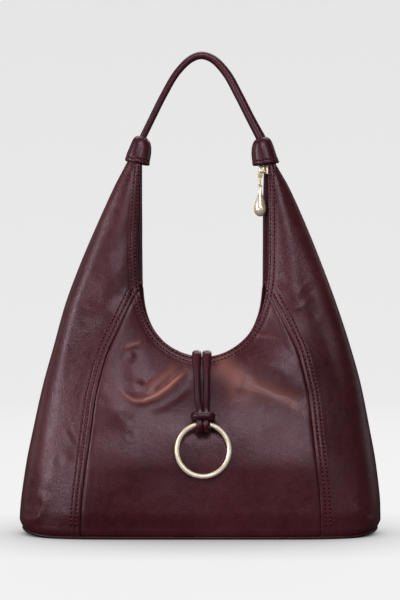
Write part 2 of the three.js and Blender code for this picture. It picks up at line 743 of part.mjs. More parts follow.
function link() {
  const outline = stadium(new THREE.Shape(), linkWidth, linkLength);
  const inside = stadium(new THREE.Path(), linkWidth - 2 * linkWire, linkLength - 2 * linkWire);
  outline.holes.push(inside);
  return plateXZ(outline, linkWire, 6)
    .rotateZ(Math.PI / 2)
    .translate(pullPivot.x, pullPivot.y, pullPivot.z - linkRise);
}

// The drop: a small eye over a round teardrop, in the plane of X and Z.
function drop() {
  const eyeMiddle = pullPivot.z - 2 * linkRise - dropEye + linkWire / 2 + clearance;
  const eye = new THREE.TorusGeometry(dropEye + dropEyeWire / 2, dropEyeWire / 2, dropEyeSides, dropSides)
    .rotateX(Math.PI / 2)
    .translate(pullPivot.x, pullPivot.y, eyeMiddle);
  const neck = eyeMiddle - dropEye - dropEyeWire / 2;
  const radius = dropWidth / 2;
  const profile = [
    { down: 0, out: 0 },
    { down: 0, out: 0.18 },
    { down: 0.12, out: 0.2 },
    { down: 0.3, out: 0.42 },
    { down: 0.48, out: 0.74 },
    { down: 0.64, out: 0.96 },
    { down: 0.76, out: 1 },
    { down: 0.87, out: 0.87 },
    { down: 0.95, out: 0.6 },
    { down: 0.99, out: 0.28 },
    { down: 1, out: 0 },
  ].map(({ down, out }) => new THREE.Vector2(out * radius, -down * dropLength));
  const body = new THREE.LatheGeometry(profile.reverse(), dropSides)
    .rotateX(Math.PI / 2)
    .translate(pullPivot.x, pullPivot.y, neck);
  return joined(eye, body);
}

// A keeper: a bell of leather round the top of an arm, closed down to the handle at its shoulder.
function keeperGeometry() {
  const bore = ((handleDiameter / 2 + clearance + keeperPlay) * keeperWidth) / keeperDepth;
  const half = keeperWidth / 2;
  const shape = [
    { rise: 0, out: 1 },
    { rise: 0.3, out: 0.97 },
    { rise: 0.58, out: 0.88 },
    { rise: 0.8, out: 0.76 },
    { rise: 0.93, out: 0.58 },
  ];
  const outer = shape.map(({ rise, out }) => new THREE.Vector2(out * half, rise * keeperHeight));
  const inner = shape
    .slice(0, 4)
    .map(({ rise, out }) => new THREE.Vector2(out * half - keeperWall, rise * keeperHeight));
  const profile = [
    ...outer,
    new THREE.Vector2(bore + keeperRim, keeperHeight),
    new THREE.Vector2(bore, keeperHeight),
    new THREE.Vector2(bore, keeperHeight - keeperShoulder),
    ...inner.reverse(),
  ];
  profile.push(profile[0].clone());
  return new THREE.LatheGeometry(profile, keeperSides)
    .rotateX(Math.PI / 2)
    .scale(1, keeperDepth / keeperWidth, 1);
}

// Where a keeper stands: over the top of its arm, tilted towards the middle.
const keeperFoot = {
  [LEFT]: vec(-leftKeeperAcrossShare * halfBag, 0, leftKeeperFootShare * armHeight),
  [RIGHT]: vec(rightKeeperAcrossShare * halfBag, 0, rightKeeperFootShare * armHeight),
};
const keeperTilt = { [LEFT]: radians(leftKeeperTilt), [RIGHT]: radians(-rightKeeperTilt) };

const keeper = (side) =>
  keeperGeometry()
    .rotateY(keeperTilt[side])
    .translate(...keeperFoot[side].toArray());

const keeperAxis = (side) => vec(Math.sin(keeperTilt[side]), 0, Math.cos(keeperTilt[side]));

// The handle: out of one keeper, up in a narrow arch and down into the other. across is a share of
// half the distance between the keepers' tops, and rise of the way from there to the handle's middle.
const handleArch = [
  { across: -0.83, rise: 0.255 },
  { across: -0.66, rise: 0.5 },
  { across: -0.422, rise: 0.79 },
  { across: -0.185, rise: 0.958 },
  { across: -0.01, rise: 1 },
  { across: 0.18, rise: 0.958 },
  { across: 0.41, rise: 0.79 },
  { across: 0.636, rise: 0.5 },
  { across: 0.808, rise: 0.255 },
];

function handle() {
  const top = (side) => keeperFoot[side].clone().addScaledVector(keeperAxis(side), keeperHeight);
  const middle = top(LEFT).lerp(top(RIGHT), 0.5);
  const half = top(LEFT).distanceTo(top(RIGHT)) / 2;
  const rise = handleTop - handleDiameter / 2 - middle.z;
  const arch = handleArch.map((row) => vec(middle.x + row.across * half, 0, middle.z + row.rise * rise));
  const end = (side, next) => {
    const into = top(side).sub(next).normalize();
    return top(side).addScaledVector(into, handleInset);
  };
  const left = [end(LEFT, arch[0]), top(LEFT)];
  const right = [top(RIGHT), end(RIGHT, arch[arch.length - 1])];
  return tube([...left, ...arch, ...right], handleDiameter, handleSides, handleSteps);
}

// A round tube along points, closed at both ends.
function tube(points, diameter, sides, steps) {
  const path = new THREE.CatmullRomCurve3(points, false, "centripetal");
  const turns = Array.from({ length: sides }, (_, i) => (2 * Math.PI * i) / sides);
  const round = turns.map((turn) => vec(Math.cos(turn), Math.sin(turn), 0).multiplyScalar(diameter / 2));
  const shape = new THREE.Shape(round.map((point) => new THREE.Vector2(point.x, point.y)));
  return new THREE.ExtrudeGeometry(shape, { steps, bevelEnabled: false, extrudePath: path });
}

// The ring hangs against the front, from the cord at its top to the leather at its foot.
const ringMean = (ringDiameter - ringWire) / 2;
const ringTopY = -(depthAt(FRONT, ringOffset, ringTop) + ringStandOff);

// How far the ring leans out at its foot, where the leather first stops it. turn is 0 at its top.
function ringLeanAt(turn) {
  const x = ringOffset + ringMean * Math.sin(turn);
  const fall = ringMean * (1 - Math.cos(turn));
  const rest = -(depthAt(FRONT, x, ringTop - fall) + ringWire / 2 + clearance);
  return Math.asin((ringTopY - rest) / fall);
}

const ringLean = Math.max(
  ...Array.from({ length: ringSteps + 1 }, (_, i) => ringLeanAt(Math.PI / 2 + (i * Math.PI) / ringSteps)),
);

const ring = () =>
  new THREE.TorusGeometry(ringMean, ringWire / 2, ringSides, ringSteps)
    .rotateX(Math.PI / 2)
    .translate(0, 0, -ringMean)
    .rotateX(-ringLean)
    .translate(ringOffset, ringTopY, ringTop);

// The tab: a pad on the back, under the mouth's edge.
function tab() {
  const middle = mouthOffset;
  const grid = (lift) =>
    Array.from({ length: tabCells + 1 }, (_, i) =>
      Array.from({ length: tabCells + 1 }, (_, j) => {
        const x = middle + tabWidth * (0.5 - j / tabCells);
        const z = tabTop - (tabHeight * i) / tabCells;
        return facePoint(BACK, x, z).addScaledVector(faceNormal(BACK, middle, tabTop), lift);
      }),
    );
  return between(grid(clearance + tabThickness), grid(clearance));
}

function cord() {
  const strand = (side) => [
    ...cordDrape.map(({ face, height, middle, spread, lift }) => {
      const z = height * mouthFloor;
      const depth = depthAt(face || BACK, ringOffset, Math.min(z, mouthFloor));
      const x = ringOffset + (middle + side * spread) * cordDiameter;
      return vec(x, face * (depth + lift * cordDiameter), z);
    }),
    ...cordHitch.map(({ spread, out, rise }) =>
      vec(side * spread, -out, rise).multiplyScalar(cordDiameter).add(vec(ringOffset, ringTopY, ringTop)),
    ),
  ];
  const left = strand(LEFT).slice(0, -1);
  return tube([...strand(RIGHT), ...left.reverse()], cordDiameter, cordSides, cordSteps);
}

const hide = { color: 0x4a2227, roughness: 0.46, metalness: 0 };
const cloth = { color: 0x2e1417, roughness: 0.85, metalness: 0 };
const gold = { color: 0xe6cfa4, roughness: 0.2, metalness: 1 };

const bag = new THREE.Group();
bag.add(
  mesh("front_panel", centrePanel(FRONT), hide),
  mesh("back_panel", centrePanel(BACK), hide),
  mesh("left_side_panel", sidePanel(LEFT), hide),
  mesh("right_side_panel", sidePanel(RIGHT), hide),
  mesh("base_panel", basePanel(), hide),
  mesh("zip_tape", zipTape(), cloth),
  mesh("zip_coil", zipCoil(), cloth),
  mesh("zip_slider", slider(), gold),
  mesh("zip_link", link(), gold),
  mesh("zip_drop", drop(), gold),
  mesh("left_keeper", keeper(LEFT), hide),
  mesh("right_keeper", keeper(RIGHT), hide),
  mesh("handle", handle(), hide),
  mesh("pendant_cord", cord(), hide),
  mesh("cord_tab", tab(), hide),
  mesh("pendant_ring", ring(), gold),
);

export default bag;
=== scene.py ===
import math

import bpy
import numpy as np
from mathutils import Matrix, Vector


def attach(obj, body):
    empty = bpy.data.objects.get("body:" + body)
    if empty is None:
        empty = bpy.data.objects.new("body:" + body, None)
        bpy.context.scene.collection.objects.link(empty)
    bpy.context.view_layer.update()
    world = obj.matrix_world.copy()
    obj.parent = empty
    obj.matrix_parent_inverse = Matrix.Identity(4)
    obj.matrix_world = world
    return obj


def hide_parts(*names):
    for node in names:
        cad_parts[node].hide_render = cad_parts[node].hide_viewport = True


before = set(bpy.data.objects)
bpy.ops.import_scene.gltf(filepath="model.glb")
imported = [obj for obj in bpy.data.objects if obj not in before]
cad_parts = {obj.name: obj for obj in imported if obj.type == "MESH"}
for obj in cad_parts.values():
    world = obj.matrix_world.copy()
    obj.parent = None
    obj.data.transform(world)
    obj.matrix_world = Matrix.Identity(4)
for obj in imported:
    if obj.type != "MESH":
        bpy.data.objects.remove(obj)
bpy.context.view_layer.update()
scene = bpy.context.scene
scene.view_settings.view_transform = "Standard"

# Millimetres, as in the model's source. X runs across the bag, Y from front to back, Z up.
MM = 0.001
FRONT, BACK, LEFT, RIGHT = -1, 1, -1, 1

# Sizes of the model

BAG_WIDTH, ARM_HEIGHT, BASE_DEPTH = 400, 416, 120
BASE_THICKNESS, BASE_CURL, CLEARANCE = 3.3, 5.5, 0.3
MOUTH_FLOOR, MOUTH_OFFSET, MOUTH_POWER = 195, 2.4, 2.65
MOUTH_WIDTH = {FRONT: 145, BACK: 133.5}
MOUTH_ARC = {FRONT: 115, BACK: 90}
GUSSET_WIDTH = 28
LEATHER, TAPE_DROP = 1.6, 4
KEEPER_HEIGHT, KEEPER_WIDTH, KEEPER_DEPTH = 30, 26, 24
HANDLE_DIAMETER, HANDLE_TOP, HANDLE_INSET = 8.4, 533, 11
RING_MEAN, RING_WIRE, RING_OFFSET, RING_TOP = 28.1, 5, 2.8, 125
RING_STAND_OFF = 11.2
CORD_DIAMETER = 6.4
HALF_BAG, HALF_BASE, HALF_GUSSET = BAG_WIDTH / 2, BASE_DEPTH / 2, GUSSET_WIDTH / 2
FOOT = BASE_THICKNESS + CLEARANCE
# Where the two ends of the base turn up, as shares of half the bag, and how late and how high.
CURL_START, CURL_LENGTH, CURL_POWER, CURL_FADE = 0.78, 0.21, 2.4, 0.12
# The inner end of an arm's level section: where it leaves the middle, where it arrives, and how far out.
CORE_START, CORE_RISE, CORE_REACH = 0.77, 0.69, 0.97

SECTIONS = np.array([  # height, left, right, depth, square, reach, gusset
    (0.0087, 0.985, 0.98, 1.0, 6.0, 0.475, 1.0),
    (0.029, 1.0, 0.996, 1.03, 5.9, 0.475, 1.0),
    (0.0745, 0.995, 0.9945, 1.08, 5.6, 0.475, 1.0),
    (0.18, 0.9665, 0.9725, 1.09, 5.0, 0.475, 1.0),
    (0.286, 0.9225, 0.9335, 0.96, 4.2, 0.475, 1.0),
    (0.394, 0.8725, 0.889, 0.78, 3.5, 0.43, 1.0),
    (0.5, 0.8115, 0.828, 0.62, 3.0, 0.34, 0.98),
    (0.606, 0.7505, 0.756, 0.51, 2.7, 0.24, 0.94),
    (0.714, 0.6675, 0.673, 0.43, 2.5, 0.17, 0.88),
    (0.82, 0.5735, 0.5845, 0.35, 2.3, 0.12, 0.78),
    (0.9255, 0.4735, 0.485, 0.24, 2.2, 0.07, 0.62),
    (0.971, 0.424, 0.431, 0.185, 2.1, 0.045, 0.52),
    (1.0, 0.393, 0.398, 0.155, 2.0, 0.035, 0.46),
])
SEAMS = np.array([  # height, across
    (0.0087, 0.653), (0.096, 0.645), (0.18, 0.6265), (0.264, 0.6075), (0.368, 0.5825),
    (0.409, 0.565), (0.482, 0.524), (0.551, 0.4565), (0.634, 0.37), (0.75, 0.245),
])
MOUTH_EDGES = np.array([  # height, front left, front right, back left, back right
    (0.75, 1, 1, 1, 1), (0.85, 0.985, 1, 1, 1), (1.0, 0.93, 0.99, 1, 1.02),
])
FOLDS = [  # face, across, height, turn, long, wide, rise
    (-1, -0.2, 0.4, 32, 0.19, 0.05, 0.06),
    (-1, -0.3, 0.33, 38, 0.26, 0.09, -0.05),
    (-1, 0.4, 0.45, -24, 0.22, 0.08, 0.055),
    (-1, 0.42, 0.36, -18, 0.26, 0.09, -0.055),
    (-1, -0.62, 0.55, 60, 0.3, 0.1, -0.06),
    (-1, 0.62, 0.56, -62, 0.32, 0.09, -0.06),
    (-1, -0.78, 0.24, 78, 0.32, 0.09, -0.06),
    (-1, 0.8, 0.25, -80, 0.34, 0.09, -0.06),
    (1, -0.25, 0.4, 30, 0.24, 0.07, 0.05),
    (1, 0.34, 0.36, -30, 0.28, 0.09, -0.05),
    (1, -0.64, 0.52, 58, 0.3, 0.1, -0.06),
    (1, 0.66, 0.5, -60, 0.3, 0.1, -0.06),
]

# The bag's surface


def smoothed(rows, key):
    """A smooth function through one column of a table, which never swings past its rows."""
    x, y = rows[:, 0], rows[:, key]
    rise = np.diff(y) / np.diff(x)
    slope = np.concatenate([rise[:1], np.zeros(len(x) - 2), rise[-1:]])
    for i in range(1, len(x) - 1):
        a, b = rise[i - 1], rise[i]
        slope[i] = 0 if a * b <= 0 else 2 * a * b / (a + b)

    def at(height):
        h = np.clip(height, x[0], x[-1])
        i = np.clip(np.searchsorted(x, h) - 1, 0, len(x) - 2)
        width = x[i + 1] - x[i]
        t = (h - x[i]) / width
        bend = t * t * (3 - 2 * t)
        ends = t * (1 - t) ** 2 * slope[i] + t * t * (t - 1) * slope[i + 1]
        return y[i] + (y[i + 1] - y[i]) * bend + ends * width
    return at


left_at, right_at, depth_share, square_at, reach_at, gusset_at = [
    smoothed(SECTIONS, key) for key in range(1, 7)]
seam_at = smoothed(SEAMS, 1)
mouth_share = {(FRONT, LEFT): smoothed(MOUTH_EDGES, 1), (FRONT, RIGHT): smoothed(MOUTH_EDGES, 2),
               (BACK, LEFT): smoothed(MOUTH_EDGES, 3), (BACK, RIGHT): smoothed(MOUTH_EDGES, 4)}


def step(t):
    """A smooth step from 0 at 0 to 1 at 1."""
    t = np.clip(t, 0, 1)
    return t * t * (3 - 2 * t)


def unit(v):
    return v / np.maximum(np.linalg.norm(v, axis=-1, keepdims=True), 1e-12)


def bell(t):
    """1 at 0, and less and less on both sides."""
    return np.exp(-t ** 2)


def outline_at(side, z):
    return HALF_BAG * (left_at if side < 0 else right_at)(z / ARM_HEIGHT)


def mouth_half(face, side, z):
    below = np.clip((MOUTH_FLOOR + MOUTH_ARC[face] - z) / MOUTH_ARC[face], 0, 1)
    share = mouth_share[face, side](z / ARM_HEIGHT)
    return MOUTH_WIDTH[face] / 2 * share * np.sqrt(np.maximum(0, 1 - below ** MOUTH_POWER))


def mouth_x(face, side, z):
    return MOUTH_OFFSET + side * mouth_half(face, side, z)


def core_at(side, z):
    share = CORE_REACH * step((z - CORE_START * MOUTH_FLOOR) / (CORE_RISE * MOUTH_FLOOR))
    return share * (MOUTH_WIDTH[BACK] / 2 + side * MOUTH_OFFSET)


def seam_x(side, z):
    return side * HALF_BAG * seam_at(z / ARM_HEIGHT) + MOUTH_OFFSET * np.clip(z / MOUTH_FLOOR, 0, 1)


def junction_at(face):
    """The height where a face's side seams meet the mouth's edge."""
    low, high = MOUTH_FLOOR, ARM_HEIGHT
    for _ in range(40):
        z = (low + high) / 2
        if HALF_BAG * seam_at(z / ARM_HEIGHT) > mouth_half(face, RIGHT, z):
            low = z
        else:
            high = z
    return low


def mouth_line(face, steps=120):
    """The mouth's edge in the plane of X and Z, from the top of the left arm to that of the right."""
    arc_top = MOUTH_FLOOR + MOUTH_ARC[face]
    turns = (np.arange(2 * steps + 1) / steps - 1) * math.pi / 2
    z = MOUTH_FLOOR + MOUTH_ARC[face] * (1 - np.cos(turns) ** (2 / MOUTH_POWER))
    x = np.where(turns < 0, mouth_x(face, LEFT, z), mouth_x(face, RIGHT, z))
    rise = np.linspace(arc_top, ARM_HEIGHT, 25)[1:]
    left = np.stack([mouth_x(face, LEFT, rise), rise], 1)[::-1]
    right = np.stack([mouth_x(face, RIGHT, rise), rise], 1)
    return np.concatenate([left, np.stack([x, z], 1), right])


JUNCTION = {face: junction_at(face) for face in (FRONT, BACK)}
MOUTH_LINE = {face: mouth_line(face) for face in (FRONT, BACK)}


def line_distance(x, z, line):
    """How far points are from a line, in the plane of X and Z."""
    shape = np.shape(x)
    point = np.stack([np.ravel(x), np.ravel(z)], 1)
    best = np.full(len(point), np.inf)
    for a, b in zip(line[:-1], line[1:]):
        along = b - a
        t = np.clip(((point - a) @ along) / max(along @ along, 1e-12), 0, 1)
        best = np.minimum(best, np.hypot(*(point - a - t[:, None] * along).T))
    return best.reshape(shape)


def fold_lift(face, x, z):
    lift = 0
    for of_face, across, height, turn, long, wide, rise in FOLDS:
        if of_face != face:
            continue
        turn = math.radians(turn)
        dx, dz = x / HALF_BAG - across, (z - height * ARM_HEIGHT) / HALF_BAG
        along = (dx * math.cos(turn) + dz * math.sin(turn)) / long
        over = (dz * math.cos(turn) - dx * math.sin(turn)) / wide
        lift = lift + rise * bell(along) * bell(over)
    return lift * HALF_BASE


def across_at(x, z):
    """0 at the inner end of the level section, 1 at the bag's outline."""
    core = np.where(x < 0, core_at(LEFT, z), core_at(RIGHT, z))
    outline = np.where(x < 0, outline_at(LEFT, z), outline_at(RIGHT, z))
    return np.clip((np.abs(x) - core) / (outline - core), 0, 1)


def depth_at(face, x, z):
    """Half the bag's depth on one face: a boxy section, drawn in along the mouth's edge."""
    x, z = np.broadcast_arrays(np.asarray(x, float), np.asarray(z, float))
    across = across_at(x, z)
    h = z / ARM_HEIGHT
    full = HALF_BASE * depth_share(h)
    edge = np.minimum(full, HALF_GUSSET * gusset_at(h))
    free = np.minimum(1, line_distance(x, z, MOUTH_LINE[face]) / (HALF_BAG * reach_at(h)))
    drawn = 1 - (1 - np.sin(free * math.pi / 2)) * (1 - edge / full)
    rounded = np.sqrt(1 - across ** square_at(h))
    return full * rounded * drawn + fold_lift(face, x, z) * (1 - across ** 4) * free


def curl_at(x):
    reach = (np.abs(x) - CURL_START * HALF_BAG) / (CURL_LENGTH * HALF_BAG)
    return BASE_CURL * np.maximum(0, reach) ** CURL_POWER


def curled(points):
    """Points of the walls, turned up with the ends of the base."""
    points = points.copy()
    fade = 1 - step((points[..., 2] - FOOT) / (CURL_FADE * ARM_HEIGHT))
    points[..., 2] += curl_at(points[..., 0]) * fade
    return points


def face_normal(face, x, z):
    nx = (depth_at(face, x - 1, z) - depth_at(face, x + 1, z)) / 2
    nz = (depth_at(face, x, z - 1) - depth_at(face, x, z + 1)) / 2
    return unit(np.stack([nx, np.full(np.shape(nx), float(face)), nz], -1))


# Relief of the leather: what lies on the main form

# Rows of stitches beside a seam and beside the mouth's edge, and the width of the edge's turned hem.
SEAM_ROWS, MOUTH_ROWS, HEM_WIDTH = (4.3, 9.3), (2.2, 6.4), 8.5
# Unevenness of the leather: height, size of its cells, seed. The side panels have a share of it.
UNEVEN = [(1.7, 62, 3), (0.7, 33, 5), (0.12, 15, 9), (0.04, 6, 12)]
SIDE_UNEVEN = 0.35
SEAM_LINE = {}
for side in (LEFT, RIGHT):
    for face in (FRONT, BACK):
        z = np.linspace(0, JUNCTION[face], 90)
        SEAM_LINE[face, side] = np.stack([seam_x(side, z), z], 1)

# Creases of the front: points (x, z), half width, rise, and the share of a warmer, lighter colour along it,
# partly the leather's pull-up lightening and partly painted highlight.
CREASES = [
    ([(-88, 165), (-81, 155), (-72, 149), (-61, 148), (-48, 152), (-35, 161), (-25, 170), (-14, 180)],
     3.6, 1.3, 0.36),
    ([(-64, 150.5), (-55, 152), (-46, 156), (-36, 163), (-28, 169.7), (-14, 181)], 1.9, 1.0, 0.75),
    ([(-62, 156), (-48, 168), (-32, 179), (-20, 187)], 6.0, 1.3, 0.34),
    ([(-50, 159), (-38, 168), (-27, 177)], 2.2, -0.6, 0.12),
    ([(-76, 196), (-72, 180), (-66, 166)], 11.0, -1.9, 0),
    ([(-62, 139), (-42, 143), (-25, 153), (-10, 168)], 5.0, -1.0, 0),
    ([(-83, 205), (-73, 209), (-62, 212)], 2.6, 1.0, 0.4),
    ([(-106, 150), (-98, 140), (-86, 132), (-76, 128)], 10.0, 0.9, 0),
    ([(-84, 134), (-80, 122), (-76, 112)], 8.0, 0.6, 0),
    ([(12, 190), (26, 184), (38, 174), (44, 160)], 12.0, 1.0, 0.36),
    ([(38, 196), (62, 192), (86, 183), (106, 172)], 11.0, 1.2, 0.0),
    ([(48, 168), (72, 160), (94, 152), (110, 143)], 9.0, -1.5, 0.24),
    ([(60, 220), (74, 218), (86, 214)], 2.5, 0.5, 0.1),
    ([(103, 262), (112, 272), (124, 282)], 2.4, 0.45, 0),
    ([(106, 254), (117, 264), (128, 272)], 2.4, -0.5, 0),
    ([(98, 246), (110, 250), (120, 258)], 2.4, 0.4, 0),
    ([(-152, 126), (-144, 112), (-134, 98), (-129, 84)], 3.0, 0.2, 0),
    ([(-146, 128), (-138, 112), (-130, 98)], 3.0, -0.2, 0),
    ([(-191, 12), (-177, 20), (-171, 29), (-168, 38), (-167, 60)], 4.5, 1.6, 0),
    ([(-183, 64), (-185, 42), (-189, 26)], 5.0, -1.0, 0),
    ([(-168, 50), (-160, 66), (-152, 84)], 12.0, 1.5, 0),
    ([(191, 12), (177, 20), (171, 30), (168, 42)], 4.5, 1.3, 0),
    ([(-70, 350), (-86, 322), (-103, 297)], 10.0, -1.2, 0),
    ([(-122, 252), (-102, 258), (-80, 267)], 8.0, -1.0, 0),
    ([(-128, 234), (-108, 240), (-88, 250)], 9.0, 0.8, 0),
    ([(-112, 283), (-96, 286), (-82, 292)], 8.0, 0.5, 0),
    ([(-100, 339), (-128, 274), (-147, 209), (-160, 145)], 7.0, 0.9, 0),
    ([(90, 278), (106, 260), (124, 242)], 12.0, 1.7, 0),
    ([(93, 339), (119, 274), (140, 209), (155, 145)], 9.0, -1.2, 0),
]


def noise(x, z, size, seed):
    """Smooth noise from -1 to 1 with cells of a given size in millimetres."""
    table = np.random.default_rng(seed).uniform(-1, 1, (64, 64))
    u, v = np.asarray(x) / size + 31.4, np.asarray(z) / size + 17.7
    i, j = np.floor(u).astype(int), np.floor(v).astype(int)
    a, b = step(u - i), step(v - j)
    at = lambda p, q: table[p % 64, q % 64]
    low = at(i, j) * (1 - a) + at(i + 1, j) * a
    high = at(i, j + 1) * (1 - a) + at(i + 1, j + 1) * a
    return low * (1 - b) + high * b


def crease_lift(face, x, z):
    """How far the front's creases lift the leather, and their share of a warmer, lighter colour: partly
    pull-up lightening, partly painted highlight. The back has none.
    """
    lift, pullup_and_highlight = np.zeros(np.shape(x)), np.zeros(np.shape(x))
    if face == BACK:
        return lift, pullup_and_highlight
    for points, wide, rise, pullup_and_highlight_share in CREASES:
        line = np.array(points, float)
        fine = np.stack([np.interp(np.linspace(0, len(line) - 1, 24), np.arange(len(line)), line[:, k])
                         for k in (0, 1)], 1)
        away = line_distance(x, z, fine)
        ends = np.minimum(*(np.hypot(x - end[0], z - end[1]) for end in (line[0], line[-1])))
        length = np.hypot(*np.diff(line, axis=0).T).sum()
        fade = step(ends / (0.35 * length) + 0.15)
        part = bell(away / wide) * fade
        lift += rise * part
        # The crease's share of the warmer colour: partly pull-up lightening, partly painted highlight.
        pullup_and_highlight += pullup_and_highlight_share * part
    return lift, pullup_and_highlight


def relief(face, x, z, of_side):
    """How far the leather stands off the main form, and its share of a warmer, lighter colour: partly pull-up
    lightening, partly painted highlight.
    """
    lift, pullup_and_highlight = crease_lift(face, x, z)
    calm = 1 - across_at(x, z) ** 3
    if of_side:
        calm = calm * SIDE_UNEVEN
    lift = lift + calm * sum(height * noise(x, z, size, seed + face) for height, size, seed in UNEVEN)
    mouth = line_distance(x, z, MOUTH_LINE[face])
    lift = lift + 0.5 * (1 - step(mouth / HEM_WIDTH)) - 0.22 * bell((mouth - HEM_WIDTH - 0.1) / 1.6)
    for row in MOUTH_ROWS:
        lift = lift - 0.16 * bell((mouth - row) / 0.9)
    side = LEFT if of_side < 0 or (of_side == 0 and np.mean(x) < 0) else RIGHT
    for seam_side in ((LEFT, RIGHT) if of_side == 0 else (side,)):
        seam = line_distance(x, z, SEAM_LINE[face, seam_side])
        if of_side == 0:
            lift = lift - 1.5 * bell(seam / 1.8) + 0.2 * bell((seam - 6) / 3.5)
        else:
            below = step((JUNCTION[face] + 6 - z) / 12)
            lift = lift + below * (0.55 * (1 - step((seam - 7) / 9)) + 0.3 * bell((seam - 1.8) / 1.5))
            for row in SEAM_ROWS:
                lift = lift - below * 0.3 * bell(seam - row)
    foot = z - FOOT
    return lift - 0.3 * bell(foot) + 0.3 * bell((foot - 5) / 3), pullup_and_highlight


def surface(face, x, z, of_side):
    """Points and normals of the finished leather at x and z. of_side is 0 on a centre panel."""
    normal = face_normal(face, x, z)
    base = np.stack([x, face * depth_at(face, x, z), z], -1)
    lift, pullup_and_highlight = relief(face, x, z, of_side)
    return base + normal * lift[..., None], normal, pullup_and_highlight


# Meshes


def mesh_object(name, points, faces, materials, smooth=True, pullup_and_highlight=None, face_material=None):
    """A mesh of points in millimetres, whose faces all have the same number of corners."""
    mesh = bpy.data.meshes.new(name)
    faces = np.asarray(faces, np.int32)
    sides = faces.shape[1]
    mesh.vertices.add(len(points))
    mesh.vertices.foreach_set("co", (np.asarray(points, np.float64) * MM).ravel())
    mesh.loops.add(faces.size)
    mesh.loops.foreach_set("vertex_index", faces.ravel())
    mesh.polygons.add(len(faces))
    mesh.polygons.foreach_set("loop_start", np.arange(len(faces), dtype=np.int32) * sides)
    mesh.polygons.foreach_set("loop_total", np.full(len(faces), sides, np.int32))
    if face_material is not None:
        mesh.polygons.foreach_set("material_index", np.asarray(face_material, np.int32))
    mesh.update(calc_edges=True)
    mesh.polygons.foreach_set("use_smooth", np.full(len(faces), smooth))
    # Per-point share of the warmer colour, partly painted highlight.
    if pullup_and_highlight is not None:
        layer = mesh.attributes.new("pullup_and_highlight", "FLOAT", "POINT")
        layer.data.foreach_set("value", np.asarray(pullup_and_highlight, np.float32).ravel())
    for material in materials if isinstance(materials, (list, tuple)) else [materials]:
        mesh.materials.append(material)
    mesh.validate()
    made = bpy.data.objects.new(name, mesh)
    scene.collection.objects.link(made)
    return made


def grid_faces(rows, columns, start=0, wrap=False):
    """The quads of a grid of points. wrap joins its last column to its first."""
    i, j = np.meshgrid(np.arange(rows - 1), np.arange(columns if wrap else columns - 1), indexing="ij")
    k = (j + 1) % columns
    quads = np.stack([i * columns + j, (i + 1) * columns + j, (i + 1) * columns + k, i * columns + k], -1)
    return quads.reshape(-1, 4) + start


def grid_normals(grid):
    return unit(np.cross(np.gradient(grid, axis=0), np.gradient(grid, axis=1)))


def turned_rows(edge, away, out, radius, inside):
    """Rows that turn a leather edge inwards: edge is its outer line, away points off the panel."""
    rows = []
    for turn in np.radians([180, 150, 120, 90, 60, 30]):
        rows.append(edge + away * (radius * math.sin(turn)) - out * radius * (1 - math.cos(turn)))
    deep = edge - away * inside - out * (2 * radius)
    return [deep] + rows


def catmull(points, count):
    """Points along a centripetal Catmull-Rom curve."""
    p = np.asarray(points, float)
    p = np.concatenate([[2 * p[0] - p[1]], p, [2 * p[-1] - p[-2]]])
    out = []
    segments = len(p) - 3
    for u in np.linspace(0, segments, count):
        i = min(int(u), segments - 1)
        t = u - i
        a, b, c, d = p[i:i + 4]
        t0, t1, t2 = [max(np.linalg.norm(e - f) ** 0.5, 1e-6) for e, f in ((b, a), (c, b), (d, c))]
        m1 = ((b - a) / t0 - (c - a) / (t0 + t1) + (c - b) / t1) * t1
        m2 = ((c - b) / t1 - (d - b) / (t1 + t2) + (d - c) / t2) * t1
        h = (2 * t ** 3 - 3 * t ** 2 + 1) * b + (t ** 3 - 2 * t ** 2 + t) * m1
        out.append(h + (-2 * t ** 3 + 3 * t ** 2) * c + (t ** 3 - t ** 2) * m2)
    return np.array(out)


def evenly(points, count):
    length = np.concatenate([[0], np.cumsum(np.linalg.norm(np.diff(points, axis=0), axis=1))])
    want = np.linspace(0, length[-1], count)
    return np.stack([np.interp(want, length, points[:, k]) for k in range(points.shape[1])], 1)


def tube_points(path, radius, sides, first=(0, 1, 0), shape=None):
    """Rings of points round a path, and the path's frames. shape scales a ring's two directions."""
    along = unit(np.gradient(path, axis=0))
    side = np.empty_like(path)
    lead = np.asarray(first, float)
    for i, a in enumerate(along):
        lead = lead - a * (lead @ a)
        lead = lead / np.linalg.norm(lead)
        side[i] = lead
    other = np.cross(along, side)
    turn = np.linspace(0, 2 * math.pi, sides, endpoint=False)
    radius = np.broadcast_to(radius, len(path))[:, None, None]
    wide, deep = (np.ones(len(path)),) * 2 if shape is None else shape
    rings = (path[:, None] + radius * (side[:, None] * (np.cos(turn)[:, None] * wide[:, None, None])
             + other[:, None] * (np.sin(turn)[:, None] * deep[:, None, None])))
    return rings, along, side, other


def tube_object(name, path, radius, sides, material, **more):
    rings = tube_points(path, radius, sides, **more)[0]
    rows = len(path)
    points = np.concatenate([rings.reshape(-1, 3), path[:1], path[-1:]])
    faces = grid_faces(rows, sides, wrap=True)
    first, last = rows * sides, rows * sides + 1
    j = np.arange(sides)
    k = (j + 1) % sides
    caps = np.concatenate([np.stack([np.full(sides, first), j, k, k], 1),
                           np.stack([np.full(sides, last), (rows - 1) * sides + k,
                                     (rows - 1) * sides + j, (rows - 1) * sides + j], 1)])
    mesh = bpy.data.meshes.new(name)
    mesh.from_pydata((points * MM).tolist(), [],
                     faces.tolist() + [list(dict.fromkeys(face)) for face in caps.tolist()])
    mesh.polygons.foreach_set("use_smooth", np.full(len(mesh.polygons), True))
    mesh.materials.append(material)
    made = bpy.data.objects.new(name, mesh)
    scene.collection.objects.link(made)
    return made


def settle(piece, body="bag", node=None):
    """A piece stands for a node of the model, whose imported part is hidden, and moves with a body."""
    if node:
        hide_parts(node)
    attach(piece, body)


